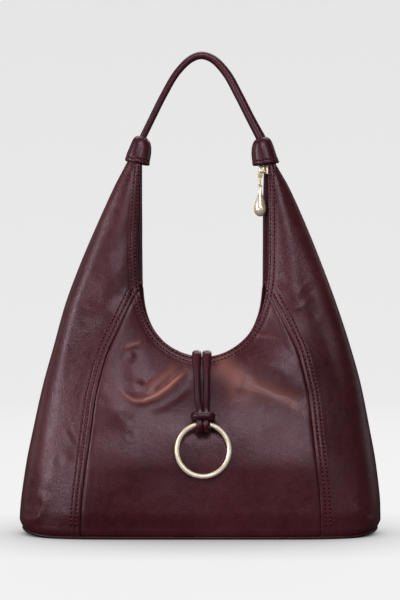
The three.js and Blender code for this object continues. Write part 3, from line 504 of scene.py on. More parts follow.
class Stitches:
    """Many stitches gathered into one mesh."""

    def __init__(self):
        self.points, self.faces, self.kinds, self.count = [], [], [], 0

    def add(self, points, faces, kind):
        self.points.append(points)
        self.faces.append(np.asarray(faces) + self.count)
        self.kinds.append(np.full(len(faces), kind))
        self.count += len(points)

    def row(self, line, normals, pitch=4.4, share=0.6, radius=0.68, stand=0.25, hole_shade=1.0):
        """Stitches along a line, and between each two a dark disc: painted shade of a needle hole."""
        length = np.concatenate([[0], np.cumsum(np.linalg.norm(np.diff(line, axis=0), axis=1))])
        number = max(1, int(length[-1] / pitch))
        pitch = length[-1] / number
        at = lambda s, of: np.stack([np.interp(s, length, of[:, k]) for k in range(3)], -1)
        middles = (np.arange(number) + 0.5) * pitch
        # Along the stitch, its width and its height.
        shape = [(-0.5, 0.55, -0.35), (-0.36, 0.95, 0.35), (0, 1.05, 0.8),
                 (0.36, 0.95, 0.35), (0.5, 0.55, -0.35)]
        sides = 6
        turn = np.linspace(0, 2 * math.pi, sides, endpoint=False)
        middle = at(middles, line)
        ahead = unit(at(middles + 0.4, line) - at(middles - 0.4, line))
        out = unit(at(middles, normals))
        over = unit(np.cross(out, ahead))
        rings = []
        for reach, wide, lift in shape:
            centre = middle + ahead * (reach * pitch * share) + out * (lift * stand)
            rings.append(centre[:, None] + radius * wide * (
                over[:, None] * np.cos(turn)[:, None] + out[:, None] * (0.75 * np.sin(turn)[:, None])))
        points = np.stack(rings, 1)
        one = grid_faces(len(shape), sides, wrap=True)
        ends = np.array([[0, 1, 2, 3], [0, 3, 4, 5], [24, 27, 26, 25], [24, 29, 28, 27]])
        each = np.concatenate([one, ends])
        size = len(shape) * sides
        for n in range(number):
            self.add(points[n].reshape(-1, 3), each, 0)
        # Each needle hole is a flat dark disc just off the leather: painted shade, not a hole.
        holes = np.arange(number + 1) * pitch
        holes = np.clip(holes, 0, length[-1])
        centre = at(holes, line)
        out = unit(at(holes, normals))
        way = unit(at(np.minimum(holes + 0.4, length[-1]), line) - at(np.maximum(holes - 0.4, 0), line))
        over = np.cross(out, way)
        for n in range(number + 1):
            disc = [centre[n] + out[n] * 0.12 + hole_shade * (way[n] * math.cos(t) * 1.2 + over[n] * math.sin(t))
                    for t in np.linspace(0, 2 * math.pi, 8, endpoint=False)]
            self.add(np.array(disc), [[0, 1, 2, 3], [0, 3, 4, 7], [4, 5, 6, 7]], 1)

    def made(self, name, thread, dark):
        # dark is the painted shade of the needle holes.
        return mesh_object(name, np.concatenate(self.points), np.concatenate(self.faces), [thread, dark],
                           face_material=np.concatenate(self.kinds))


# Materials


def nodes_of(name):
    material = bpy.data.materials.new(name)
    material.use_nodes = True
    tree = material.node_tree
    return material, tree, tree.nodes["Principled BSDF"]


def add(tree, kind, **values):
    node = tree.nodes.new(kind)
    for key, value in values.items():
        if key.startswith("in_"):
            node.inputs[key[3:].replace("_", " ")].default_value = value
        else:
            setattr(node, key, value)
    return node


def ramp(tree, source, stops):
    node = tree.nodes.new("ShaderNodeValToRGB")
    tree.links.new(source, node.inputs["Fac"])
    while len(node.color_ramp.elements) < len(stops):
        node.color_ramp.elements.new(0.5)
    for element, (place, colour) in zip(node.color_ramp.elements, stops):
        element.position = place
        element.color = (*colour, 1) if len(colour) == 3 else colour
    return node.outputs["Color"]


def mixed(tree, kind, factor, a, b):
    node = tree.nodes.new("ShaderNodeMix")
    node.data_type = "RGBA"
    node.blend_type = kind
    for socket, value in ((node.inputs[0], factor), (node.inputs[6], a), (node.inputs[7], b)):
        if hasattr(value, "links"):
            tree.links.new(value, socket)
        else:
            socket.default_value = value
    return node.outputs[2]


def srgb(text):
    parts = [int(text[i:i + 2], 16) / 255 for i in (1, 3, 5)]
    return tuple(c / 12.92 if c < 0.04045 else ((c + 0.055) / 1.055) ** 2.4 for c in parts)


def leather(name, dark, mid, light, pullup_and_highlight=None, rough=0.4, grain=1.0, shine=0.4, mottle=0.7):
    """Clouded leather with a fine grain, with a little painted shade in the grain's creases. The optional
    colour is laid where the mesh's attribute marks it: partly the leather's pull-up lightening, partly
    painted highlight.
    """
    material, tree, shader = nodes_of(name)
    link = tree.links.new
    place = add(tree, "ShaderNodeTexCoord").outputs["Object"]
    cloud = add(tree, "ShaderNodeTexNoise", in_Scale=9.0, in_Detail=5.0, in_Roughness=0.55)
    fine = add(tree, "ShaderNodeTexNoise", in_Scale=120.0, in_Detail=4.0, in_Roughness=0.6)
    pores = add(tree, "ShaderNodeTexVoronoi", in_Scale=900.0, in_Randomness=1.0)
    cells = add(tree, "ShaderNodeTexVoronoi", feature="DISTANCE_TO_EDGE", in_Scale=420.0)
    for node in (cloud, fine, pores, cells):
        link(place, node.inputs["Vector"])
    colour = ramp(tree, cloud.outputs["Fac"], [(0.3, srgb(dark)), (0.52, srgb(mid)), (0.75, srgb(light))])
    speckle = ramp(tree, fine.outputs["Fac"], [(0.3, (0.82, 0.82, 0.82)), (0.7, (1.1, 1.08, 1.08))])
    colour = mixed(tree, "MULTIPLY", mottle, colour, speckle)
    # A warmer, lighter colour where the mesh's attribute marks it: partly the leather's pull-up lightening,
    # partly painted highlight.
    if pullup_and_highlight:
        attribute = add(tree, "ShaderNodeAttribute", attribute_name="pullup_and_highlight")
        colour = mixed(tree, "MIX", attribute.outputs["Fac"], colour, (*srgb(pullup_and_highlight), 1))
    # Darker colour along the grain's crease lines: the grain's own pattern with painted shade in its creases.
    creases = ramp(tree, cells.outputs["Distance"], [(0.0, (0.72, 0.7, 0.7)), (0.12, (1, 1, 1))])
    colour = mixed(tree, "MULTIPLY", 0.5 * mottle, colour, creases)
    link(colour, shader.inputs["Base Color"])
    polish = ramp(tree, fine.outputs["Fac"],
                  [(0.25, (rough - 0.1 * mottle,) * 3), (0.75, (rough + 0.13 * mottle,) * 3)])
    link(polish, shader.inputs["Roughness"])
    rise = add(tree, "ShaderNodeMath", operation="MULTIPLY_ADD")
    link(cells.outputs["Distance"], rise.inputs[0])
    rise.inputs[1].default_value = 1.6
    link(pores.outputs["Distance"], rise.inputs[2])
    bump = add(tree, "ShaderNodeBump", in_Strength=0.22 * grain, in_Distance=0.0005)
    link(rise.outputs[0], bump.inputs["Height"])
    soft = add(tree, "ShaderNodeBump", in_Strength=0.25 * grain, in_Distance=0.0012)
    link(fine.outputs["Fac"], soft.inputs["Height"])
    link(bump.outputs["Normal"], soft.inputs["Normal"])
    link(soft.outputs["Normal"], shader.inputs["Normal"])
    shader.inputs["Specular IOR Level"].default_value = shine
    shader.inputs["Specular Tint"].default_value = (1.0, 0.78, 0.9, 1)
    return material


def metal(name, colour, worn, rough, share):
    """Plated metal with faint lines. share is how metallic it is."""
    material, tree, shader = nodes_of(name)
    link = tree.links.new
    place = add(tree, "ShaderNodeTexCoord").outputs["Object"]
    cloud = add(tree, "ShaderNodeTexNoise", in_Scale=60.0, in_Detail=4.0)
    lines = add(tree, "ShaderNodeTexNoise", in_Scale=900.0, in_Detail=3.0)
    for node in (cloud, lines):
        link(place, node.inputs["Vector"])
    tone = ramp(tree, cloud.outputs["Fac"], [(0.35, srgb(worn)), (0.6, srgb(colour))])
    polish = ramp(tree, lines.outputs["Fac"], [(0.3, (rough - 0.03,) * 3), (0.7, (rough + 0.04,) * 3)])
    link(tone, shader.inputs["Base Color"])
    link(polish, shader.inputs["Roughness"])
    bump = add(tree, "ShaderNodeBump", in_Strength=0.012, in_Distance=0.0002)
    link(lines.outputs["Fac"], bump.inputs["Height"])
    link(bump.outputs["Normal"], shader.inputs["Normal"])
    shader.inputs["Metallic"].default_value = share
    return material


def woven(name, dark, light, pitch=1000.0, rough=0.85):
    """Cloth or thread, of two crossing waves."""
    material, tree, shader = nodes_of(name)
    link = tree.links.new
    place = add(tree, "ShaderNodeTexCoord").outputs["Object"]
    up = add(tree, "ShaderNodeTexWave", bands_direction="Z", in_Scale=pitch, in_Distortion=0.6)
    over = add(tree, "ShaderNodeTexWave", bands_direction="DIAGONAL", in_Scale=pitch * 0.7, in_Distortion=0.8)
    for node in (up, over):
        link(place, node.inputs["Vector"])
    both = add(tree, "ShaderNodeMath", operation="MULTIPLY")
    link(up.outputs["Fac"], both.inputs[0])
    link(over.outputs["Fac"], both.inputs[1])
    link(ramp(tree, both.outputs[0], [(0.0, srgb(dark)), (0.8, srgb(light))]), shader.inputs["Base Color"])
    bump = add(tree, "ShaderNodeBump", in_Strength=0.5, in_Distance=0.0004)
    link(both.outputs[0], bump.inputs["Height"])
    link(bump.outputs["Normal"], shader.inputs["Normal"])
    shader.inputs["Roughness"].default_value = rough
    return material


# The hide's warmer colour on chosen creases is partly its pull-up lightening and partly painted highlight.
hide = leather("burgundy_hide", "#351115", "#42181d", "#4e2228", pullup_and_highlight="#a86a5c", rough=0.33)
trim = leather("burgundy_trim", "#30101a", "#3e161c", "#4a1f26", rough=0.33, grain=0.05, shine=0.38,
               mottle=0.12)
# The base panel's leather, a little darker than the hide.
darker_base_leather = leather("base_edge", "#2a0e12", "#341217", "#3e181d", rough=0.45, grain=0.6, shine=0.3)
gold = metal("pale_gold", "#fff0dc", "#f2dcc0", rough=0.24, share=0.35)
wire_gold = metal("wire_gold", "#e2c79c", "#c9a878", rough=0.28, share=0.5)
polished = metal("polished_gold", "#fff0d8", "#f0d6a8", rough=0.16, share=0.55)
thread = woven("dark_red_thread", "#5a0c1c", "#86182e", pitch=1800.0, rough=0.6)
# Painted shade of the needle holes: near black, on small discs over the leather.
hole_shade = leather("needle_hole_shade", "#0c0304", "#100506", "#140708", rough=0.8, shine=0.1)
cloth = woven("zip_tape_cloth", "#3a141b", "#5c2029")
teeth = leather("zip_teeth", "#2c0f14", "#38141a", "#421a20", rough=0.35, grain=0.3)

# Camera

camera = bpy.data.objects.new("camera", bpy.data.cameras.new("camera"))
camera.location = (-0.00055, -2.0, 0.2578)
camera.rotation_euler = (math.radians(90), 0, 0)
camera.data.sensor_width = 36
camera.data.lens = 108.3
camera.data.clip_start = 0.05
camera.data.clip_end = 50
scene.collection.objects.link(camera)
scene.camera = camera

# The cord: its two strands, then the hitch round the ring. The same route as the model's solid.

CORD_DRAPE = [  # face, height, middle, spread, lift
    (1, 0.9056, -0.125, 0.875, 0.726), (1, 0.9918, -0.156, 0.875, 0.806), (1, 1.019, -0.172, 0.875, 0.322),
    (0, 1.0251, -0.203, 0.875, 0), (-1, 1.019, -0.219, 0.875, 0.322), (-1, 0.9918, -0.211, 0.867, 0.805),
    (-1, 0.8205, -0.156, 0.766, 0.708), (-1, 0.7385, -0.062, 0.625, 0.713),
]
CORD_HITCH = [  # spread, out, rise
    (0.539, -1.765, 1.969), (0.53, -0.89, 1.34), (0.53, 0.36, 1.0), (0.53, 1.13, -0.063),
    (0.547, 0.797, -0.82), (0.703, -0.031, -1.02), (1.047, -0.703, -0.76), (1.266, -1.062, -0.063),
    (1.422, -0.843, 0.844), (1.437, 0.563, 1.406), (1.063, 1.282, 1.422), (0, 1.438, 1.437),
]
RING_TOP_Y = -(float(depth_at(FRONT, RING_OFFSET, RING_TOP)) + RING_STAND_OFF)


def strand(side):
    points = []
    for face, height, middle, spread, lift in CORD_DRAPE:
        z = height * MOUTH_FLOOR
        deep = float(depth_at(face or BACK, RING_OFFSET, min(z, MOUTH_FLOOR)))
        points.append((RING_OFFSET + (middle + side * spread) * CORD_DIAMETER,
                       face * (deep + lift * CORD_DIAMETER), z))
    for spread, out, rise in CORD_HITCH:
        points.append((RING_OFFSET + side * spread * CORD_DIAMETER, RING_TOP_Y - out * CORD_DIAMETER,
                       RING_TOP + rise * CORD_DIAMETER))
    return points


cord_points = strand(RIGHT) + strand(LEFT)[:-1][::-1]
cord_path = evenly(catmull(cord_points, 1600), 420)
# The cord lies flatter where it crosses the mouth's edges, and swells in the hitch above the ring.
height = cord_path[:, 2].copy()
flat = bell((height - MOUTH_FLOOR - 3) / 12)
cord_path[:, 2] -= 1.3 * flat
hitch = step((-cord_path[:, 1] - 57) / 8) * step((height - RING_TOP + 4) / 4)
cord_radius = 3.7 + 0.3 * flat + 0.35 * hitch
cord = tube_object("hitched_cord", cord_path, cord_radius, 20, trim, first=(1, 0, 0),
                   shape=(1 + 0.3 * flat, 1 - 0.06 * flat))
settle(cord, node="pendant_cord")

# Centre panels


def spaced(count, fine_share=0.3, fine_reach=0.08):
    """Shares from 0 to 1, closer together near 0."""
    fine = np.linspace(0, fine_reach, int(count * fine_share), endpoint=False)
    return np.concatenate([fine, np.linspace(fine_reach, 1, count - len(fine))])


# A centre panel reaches this far past the seam lines, and so does its edge at the mouth.
PANEL_LAP, EDGE_LAP = 4.0, 1.0


def centre_panel(face, columns=200, rows=210):
    """A grid between the mouth's edge, the two seams and the foot, with its edges turned in."""
    top = JUNCTION[face]
    line = MOUTH_LINE[face]
    line = line[line[:, 1] < top - 1e-6]
    corners = [np.array([mouth_x(face, side, top), top]) for side in (LEFT, RIGHT)]
    upper = evenly(np.concatenate([corners[:1], line, corners[1:]]), columns + 1)
    way = unit(np.gradient(upper, axis=0))
    upper = upper + np.stack([way[:, 1], -way[:, 0]], 1) * EDGE_LAP
    share = np.linspace(0, 1, columns + 1)[None, :, None]
    down = spaced(rows + 1)[:, None, None]
    z = top + (FOOT - top) * down[:, 0, 0]
    left = np.stack([seam_x(LEFT, z), z], 1)[:, None]
    right = np.stack([seam_x(RIGHT, z), z], 1)[:, None]
    left[0, 0], right[0, 0] = upper[0], upper[-1]
    lower = (left[-1] * (1 - share[0]) + right[-1] * share[0])[None]
    sides = left * (1 - share) + right * share
    ends = upper[None] * (1 - down) + lower * down
    corner_top = upper[0] * (1 - share) + upper[-1] * share
    corner_foot = lower[0, 0] * (1 - share) + lower[0, -1] * share
    flat = sides + ends - corner_top * (1 - down) - corner_foot * down
    x, z = flat[..., 0], flat[..., 1]
    points, normals, pullup_and_highlight = surface(face, x, z, 0)
    # Under the side panels' edges.
    under = []
    for j, side in ((0, LEFT), (-1, RIGHT)):
        out = points[:, j] + np.array([side * PANEL_LAP, 0, 0]) - normals[:, j] * 0.9
        under.append(out[:, None])
    points = np.concatenate([under[0], points, under[1]], 1)
    normals = np.concatenate([normals[:, :1], normals, normals[:, -1:]], 1)
    pullup_and_highlight = np.concatenate([pullup_and_highlight[:, :1], pullup_and_highlight, pullup_and_highlight[:, -1:]], 1)
    away = unit(np.cross(normals[0], np.gradient(points[0], axis=0))) * -face
    turned = turned_rows(points[0], away, normals[0], 1.0, 7.0)
    points = np.concatenate([np.stack(turned), points])
    pullup_and_highlight = np.concatenate([np.repeat(pullup_and_highlight[:1], len(turned), 0), pullup_and_highlight])
    # A little way in over the base.
    tuck = points[-1] - np.array([0, face, 0]) * 2.5 + np.array([0, 0, -0.4])
    points = np.concatenate([points, tuck[None]])
    pullup_and_highlight = np.concatenate([pullup_and_highlight, pullup_and_highlight[-1:]])
    faces = grid_faces(*points.shape[:2])
    if face > 0:
        faces = faces[:, ::-1]
    return points, faces, pullup_and_highlight


# Side panels


def side_inner(face, side, z):
    return np.where(z <= JUNCTION[face] + 1e-6, seam_x(side, z), mouth_x(face, side, z) + side * EDGE_LAP)


def side_half(face, side, z, columns):
    """The level section at height z, from its inner edge to the outline, by even lengths."""
    core, square = core_at(side, z), square_at(z / ARM_HEIGHT)
    reach = outline_at(side, z) - core
    start = np.clip((abs(side_inner(face, side, z)) - core) / reach, 0, 1)
    turn = np.linspace(math.acos(min(1, start ** (square / 2))), 0, 260)
    x = side * (core + reach * np.cos(turn) ** (2 / square))
    across = np.clip((np.abs(x) - core) / reach, 0, 1)
    y = HALF_BASE * depth_share(z / ARM_HEIGHT) * np.sqrt(1 - across ** square)
    length = np.concatenate([[0], np.cumsum(np.hypot(np.diff(x), np.diff(y)))])
    near = min(0.35, 13 / length[-1])
    want = spaced(columns, 0.28, near) * length[-1]
    return side * (core + reach * np.cos(np.interp(want, length, turn)) ** (2 / square))


# How an inner edge of a side panel turns down over the centre panel: away from the panel and out of it.
LAP = ((0.45, -0.25), (0.6, -0.8), (0.5, -1.5), (-0.2, -2.2))


def side_panel(side, rows=270, columns=88):
    """A grid round the side of the bag, from its front seam to its back seam."""
    heights = np.linspace(ARM_HEIGHT, FOOT, rows)
    halves = {}
    for face in (FRONT, BACK):
        x = np.array([side_half(face, side, z, columns) for z in heights])
        z = np.repeat(heights[:, None], columns, 1)
        y = face * depth_at(face, x, z)
        y[:, -1] = 0
        lift, pullup_and_highlight = relief(face, x, z, side)
        lift[:, -1] = 0
        halves[face] = (np.stack([x, y, z], -1), lift, pullup_and_highlight)
    join = lambda k: np.concatenate([halves[FRONT][k], halves[BACK][k][:, -2::-1]], 1)
    base, lift, pullup_and_highlight = join(0), join(1), join(2)
    normals = grid_normals(base) * side
    base = base + normals * lift[..., None]
    # Both inner edges turn down: over the centre panels below, and into the mouth above.
    edges = []
    for j, inner, face in ((0, 1, FRONT), (-1, -2, BACK)):
        away = unit(base[:, j] - base[:, inner])
        out = normals[:, j]
        seam = step((JUNCTION[face] + 5 - heights) / 10)[:, None]
        lap = [base[:, j] + away * a + out * b for a, b in LAP]
        mouth = [base[:, j] + away * math.sin(t) - out * (1 - math.cos(t))
                 for t in np.radians([40, 90, 140])]
        mouth.append(base[:, j] - away * 7 - out * 2)
        edges.append([a * seam + b * (1 - seam) for a, b in zip(lap, mouth)])
    front = np.stack(edges[0][::-1], 1)
    back = np.stack(edges[1], 1)
    points = curled(np.concatenate([front, base, back], 1))
    pullup_and_highlight = np.concatenate([np.zeros((rows, 4)), pullup_and_highlight, np.zeros((rows, 4))], 1)
    tuck = points[-1] + np.array([-side * 2.0, 0, -0.4])
    points = np.concatenate([points, tuck[None]])
    pullup_and_highlight = np.concatenate([pullup_and_highlight, pullup_and_highlight[-1:]])
    faces = grid_faces(*points.shape[:2])
    if side < 0:
        faces = faces[:, ::-1]
    return points, faces, pullup_and_highlight


for name, face in (("front", FRONT), ("back", BACK)):
    points, faces, pullup_and_highlight = centre_panel(face)
    made = mesh_object(name + "_leather", points.reshape(-1, 3), faces, hide, pullup_and_highlight=pullup_and_highlight)
    settle(made, node=name + "_panel")
for name, side in (("left", LEFT), ("right", RIGHT)):
    points, faces, pullup_and_highlight = side_panel(side)
    made = mesh_object(name + "_side_leather", points.reshape(-1, 3), faces, hide, pullup_and_highlight=pullup_and_highlight)
    settle(made, node=name + "_side_panel")

# Base


BASE_SECTORS = 320
BASE_UNDER = (0.03, 0.3, 0.6, 0.8, 0.9, 0.95)  # rings of the underside, as shares of the outline
BASE_OVER = (0.9, 0.5, 0.03)
BASE_EDGE = [  # inset, height
    (1.3, 0), (0.45, 0.3), (0.05, 1.0), (-0.25, 1.8), (-0.1, 2.6), (0.3, 3.2), (1.0, 3.4), (3.5, 3.4),
]


def base_outline(inset, z, share=1.0):
    turn = np.linspace(0, 2 * math.pi, BASE_SECTORS, endpoint=False)
    square = float(square_at(FOOT / ARM_HEIGHT))
    deep = HALF_BASE * float(depth_share(FOOT / ARM_HEIGHT))
    half = np.where(np.cos(turn) < 0, outline_at(LEFT, FOOT), outline_at(RIGHT, FOOT))
    x = np.cos(turn) * (half - inset) * share
    round_off = np.sqrt(np.maximum(0, 1 - np.abs(np.cos(turn)) ** square))
    y = np.sign(np.sin(turn)) * round_off * (deep - inset) * share
    return np.stack([x, y, z + curl_at(x)], 1)


rings = [base_outline(0, 0, share) for share in BASE_UNDER]
rings += [base_outline(inset, z) for inset, z in BASE_EDGE]
rings += [base_outline(0, BASE_THICKNESS, share) for share in BASE_OVER]
faces = grid_faces(len(rings), BASE_SECTORS, wrap=True)
made = mesh_object("base_leather", np.concatenate(rings), faces, darker_base_leather)
settle(made, node="base_panel")

# Stitching: two rows beside each seam and along the mouth's edges

STITCH_FOOT, STITCH_TOP = 14, 404  # the rows begin this high at the foot and end this high in the arms


def offset_line(line, away, side):
    way = unit(np.gradient(line, axis=0))
    return line + side * away * np.stack([-way[:, 1], way[:, 0]], 1)


for name, face in (("front", FRONT), ("back", BACK)):
    rows = Stitches()
    for side in (LEFT, RIGHT):
        for away in SEAM_ROWS:
            line = SEAM_LINE[face, side]
            line = line[(line[:, 1] > STITCH_FOOT) & (line[:, 1] < JUNCTION[face] - 5 - 0.6 * away)]
            line = evenly(offset_line(line, away, -side), 200)
            points, normals, _ = surface(face, line[:, 0], line[:, 1], side)
            rows.row(points, normals)
    for away in MOUTH_ROWS:
        line = evenly(offset_line(evenly(MOUTH_LINE[face], 400), away, -1), 500)
        line = line[line[:, 1] < STITCH_TOP]
        of_left = line[:, 0] < MOUTH_OFFSET
        for part, of_side in ((line[of_left], LEFT), (line[~of_left], RIGHT)):
            seam = np.abs(part[:, 0]) >= np.abs(seam_x(of_side, part[:, 1]))
            on_side = seam | (part[:, 1] > JUNCTION[face])
            for chosen, kind in ((on_side, of_side), (~on_side, 0)):
                piece = part[chosen]
                if len(piece) > 4:
                    points, normals, _ = surface(face, piece[:, 0], piece[:, 1], kind)
                    rows.row(points, normals, pitch=4.1, radius=0.58, hole_shade=0.92)
    settle(rows.made(name + "_stitching", thread, hole_shade))

# Zip: tape, teeth, slider and pull


def zip_places(count, start=0.012, end=0.988):
    lines = {face: evenly(MOUTH_LINE[face], 1201) for face in (FRONT, BACK)}
    at = np.linspace(start, end, count)
    ends = {}
    for face in (FRONT, BACK):
        flat = np.stack([np.interp(at, np.linspace(0, 1, 1201), lines[face][:, k]) for k in (0, 1)], 1)
        ends[face] = np.stack([flat[:, 0], face * depth_at(face, flat[:, 0], flat[:, 1]), flat[:, 1]], 1)
    middle = (ends[FRONT] + ends[BACK]) / 2
    along = unit(np.gradient(middle, axis=0))
    across = unit(ends[BACK] - ends[FRONT])
    out = unit(np.cross(along, across))
    half = np.linalg.norm(ends[BACK] - ends[FRONT], axis=1) / 2
    return middle, along, across, out, half


middle, along, across, out, half = zip_places(361)
half = half - LEATHER - 2 * CLEARANCE
# Across the tape, as shares of its half width, and the rise of its weave.
profile = [(-1.0, -0.2), (-0.75, 0.0), (-0.4, -0.25), (-0.15, 0.1),
           (0.15, 0.1), (0.4, -0.25), (0.75, 0.0), (1.0, -0.2)]
tops = [middle + across * (half * a)[:, None] + out * (b - TAPE_DROP) for a, b in profile]
under = [middle + across * (half * a)[:, None] + out * (-1.2 - TAPE_DROP) for a, _ in profile[::-1]]
points = np.stack(tops + under, 1)
made = mesh_object("zip_cloth", points.reshape(-1, 3), grid_faces(361, 16, wrap=True)[:, ::-1], cloth)
settle(made, node="zip_tape")

middle, along, across, out, half = zip_places(330)
tooth = np.array([(-1, -0.5, 0), (1, -0.5, 0), (1, 0.5, 0), (-1, 0.5, 0), (-0.6, -0.32, 1), (0.6, -0.32, 1),
                  (0.6, 0.32, 1), (-0.6, 0.32, 1)])
box = np.array([[0, 3, 2, 1], [4, 5, 6, 7], [0, 1, 5, 4], [1, 2, 6, 5], [2, 3, 7, 6], [3, 0, 4, 7]])
points, faces, count = [], [], 0
for n in range(len(middle)):
    for side in (-1, 1):
        shift = 0.35 * side * np.linalg.norm(middle[1] - middle[0])
        centre = middle[n] + along[n] * shift + across[n] * (1.25 * side) - out[n] * (TAPE_DROP - 0.3)
        points.append(centre + across[n] * (tooth[:, :1] * 1.35) + along[n] * (tooth[:, 1:2] * 1.0)
                      + out[n] * (tooth[:, 2:] * 1.7))
        faces.append(box + count)
        count += 8
made = mesh_object("zip_teeth", np.concatenate(points), np.concatenate(faces), teeth, smooth=False)
bevel = made.modifiers.new("bevel", "BEVEL")
bevel.width, bevel.segments = 0.0002, 1
settle(made, node="zip_coil")


def torus(centre, mean, wire, u, v, steps, sides):
    a = np.linspace(0, 2 * math.pi, steps, endpoint=False)[:, None, None]
    b = np.linspace(0, 2 * math.pi, sides, endpoint=False)[None, :, None]
    way = np.cos(a) * np.array(u) + np.sin(a) * np.array(v)
    points = centre + way * (mean + wire * np.cos(b)) + np.cross(u, v) * wire * np.sin(b)
    faces = grid_faces(steps + 1, sides, wrap=True) % (steps * sides)
    return points, faces[:, ::-1]


# Slider, in its own frame: out of the zip, across it and down along it.
SLIDER_SHARE = 0.973  # of the way along the mouth
ARCH_REACH, ARCH_FALL = 6.2, 6.4  # from the slider's place to the middle of its arch
middle, along, across, out, half = zip_places(3, SLIDER_SHARE - 0.001, SLIDER_SHARE + 0.001)
PLACE, ACROSS = middle[1], across[1]
OUT = unit(out[1] * (1, 0, 1))
DOWN = np.cross(OUT, (0, 1, 0))
PIVOT = PLACE + OUT * ARCH_REACH + DOWN * ARCH_FALL


def rounded_block(name, centre, axes, size, radius, material, segments=3):
    signs = np.array([(x, y, z) for x in (-1, 1) for y in (-1, 1) for z in (-1, 1)], float)
    points = centre + (signs * np.array(size) / 2) @ np.array(axes)
    faces = [[0, 1, 3, 2], [4, 6, 7, 5], [0, 4, 5, 1], [2, 3, 7, 6], [0, 2, 6, 4], [1, 5, 7, 3]]
    made = mesh_object(name, points, faces, material)
    bevel = made.modifiers.new("bevel", "BEVEL")
    bevel.width, bevel.segments = radius * MM, segments
    return made


slider_axes = (OUT, ACROSS, np.cross(OUT, ACROSS))
plate = rounded_block("slider_plate", PLACE - OUT * 0.8, slider_axes, (1.6, 8.4, 9.5), 0.7, gold)
walls = [rounded_block("slider_wall_" + name, PLACE - OUT * 2.2 + ACROSS * (way * 3.6), slider_axes,
                       (2.6, 1.1, 9.3), 0.4, gold) for name, way in (("front", -1), ("back", 1))]
straight_axes = (OUT, np.array([0.0, 1.0, 0.0]), DOWN)
crown = rounded_block("slider_crown", PLACE + OUT * 4.3 - DOWN * 0.2, straight_axes, (8.0, 5.8, 8.8), 2.7,
                      polished, 8)
loop, loop_faces = torus(PIVOT, 2.1, 0.85, OUT, DOWN, 48, 16)
arch = mesh_object("slider_arch", loop.reshape(-1, 3), loop_faces, wire_gold)
settle(plate, node="zip_slider")
for piece in [crown, arch] + walls:
    settle(piece)

# Link: a round wire bent to a long loop, upright across the bag's depth.
LINK_LENGTH, LINK_WIDTH, LINK_WIRE, LINK_SIDES = 13, 6.2, 1.4, 14
rise = (LINK_LENGTH - LINK_WIRE) / 2
radius = (LINK_WIDTH - LINK_WIRE) / 2
straight = (LINK_LENGTH - LINK_WIDTH) / 2
centre = PIVOT - np.array([0, 0, rise])
loop = [centre + (0, radius * math.cos(t), way * straight + radius * math.sin(t))
        for way, start in ((1, 0), (-1, math.pi)) for t in np.linspace(start, start + math.pi, 24)]
loop = evenly(np.array(loop + loop[:1]), 97)
loop = np.concatenate([loop[-2:-1], loop, loop[1:2]])
rings = tube_points(loop, 0.9, LINK_SIDES, first=(1, 0, 0))[0][1:-2]
faces = grid_faces(len(rings) + 1, LINK_SIDES, wrap=True) % (len(rings) * LINK_SIDES)
made = mesh_object("link_wire", rings.reshape(-1, 3), faces, wire_gold)
settle(made, "zip_pull", node="zip_link")

# Drop: an eye over a polished teardrop.
DROP_LENGTH, DROP_HALF, EYE_INNER = 31.6, 6.7, 1.3
EYE = PIVOT[2] - 2 * rise - EYE_INNER + LINK_WIRE / 2 + CLEARANCE


def lathe(profile, centre, sides, count):
    profile = catmull(profile, count)
    turn = np.linspace(0, 2 * math.pi, sides, endpoint=False)
    radius = np.maximum(profile[:, :1], 0.001)
    return np.stack([centre[0] + radius * np.cos(turn), centre[1] + radius * np.sin(turn),
                     np.repeat(centre[2] + profile[:, 1:2], sides, 1)], -1)


neck = EYE - EYE_INNER - 0.6
profile = [(out * DROP_HALF, -down * DROP_LENGTH) for down, out in (
    (-0.01, 0.0), (0, 0.14), (0.07, 0.2), (0.15, 0.28), (0.244, 0.41), (0.33, 0.56), (0.418, 0.69),
    (0.49, 0.79), (0.557, 0.87), (0.63, 0.95), (0.697, 1.0), (0.77, 0.99), (0.836, 0.93), (0.89, 0.82),
    (0.94, 0.64), (0.975, 0.42), (0.995, 0.15), (1.0, 0.0))]
drop = lathe(profile, (PIVOT[0], PIVOT[1], neck), 56, 120)
eye, eye_faces = torus(np.array([PIVOT[0], PIVOT[1], EYE]), 1.9, 0.62, (1, 0, 0), (0, 0, 1), 48, 14)
points = np.concatenate([drop.reshape(-1, 3), eye.reshape(-1, 3)])
faces = np.concatenate([grid_faces(120, 56, wrap=True), eye_faces + 120 * 56])
made = mesh_object("polished_drop", points, faces, polished)
settle(made, "zip_pull", node="zip_drop")

# Ring


def ring_lean():
    leans = []
    quarter = np.linspace(math.pi / 2, math.pi, 19)
    for turn in np.concatenate([quarter, -quarter]):
        fall = RING_MEAN * (1 - math.cos(turn))
        deep = float(depth_at(FRONT, RING_OFFSET + RING_MEAN * math.sin(turn), RING_TOP - fall))
        leans.append(math.asin((RING_TOP_Y + deep + RING_WIRE / 2 + CLEARANCE) / fall))
    return max(leans)


lean = ring_lean()
down = np.array([0, -math.sin(lean), -math.cos(lean)])
ring, ring_faces = torus(np.array([RING_OFFSET, RING_TOP_Y, RING_TOP]) + down * RING_MEAN, RING_MEAN,
                         RING_WIRE / 2, (1, 0, 0), -down, 160, 28)
made = mesh_object("gold_ring", ring.reshape(-1, 3), ring_faces, gold)
settle(made, "ring", node="pendant_ring")

# Keepers and handle

KEEPERS = {LEFT: (-0.3535, 0.984, math.radians(13.5)), RIGHT: (0.3655, 0.981, math.radians(-12))}
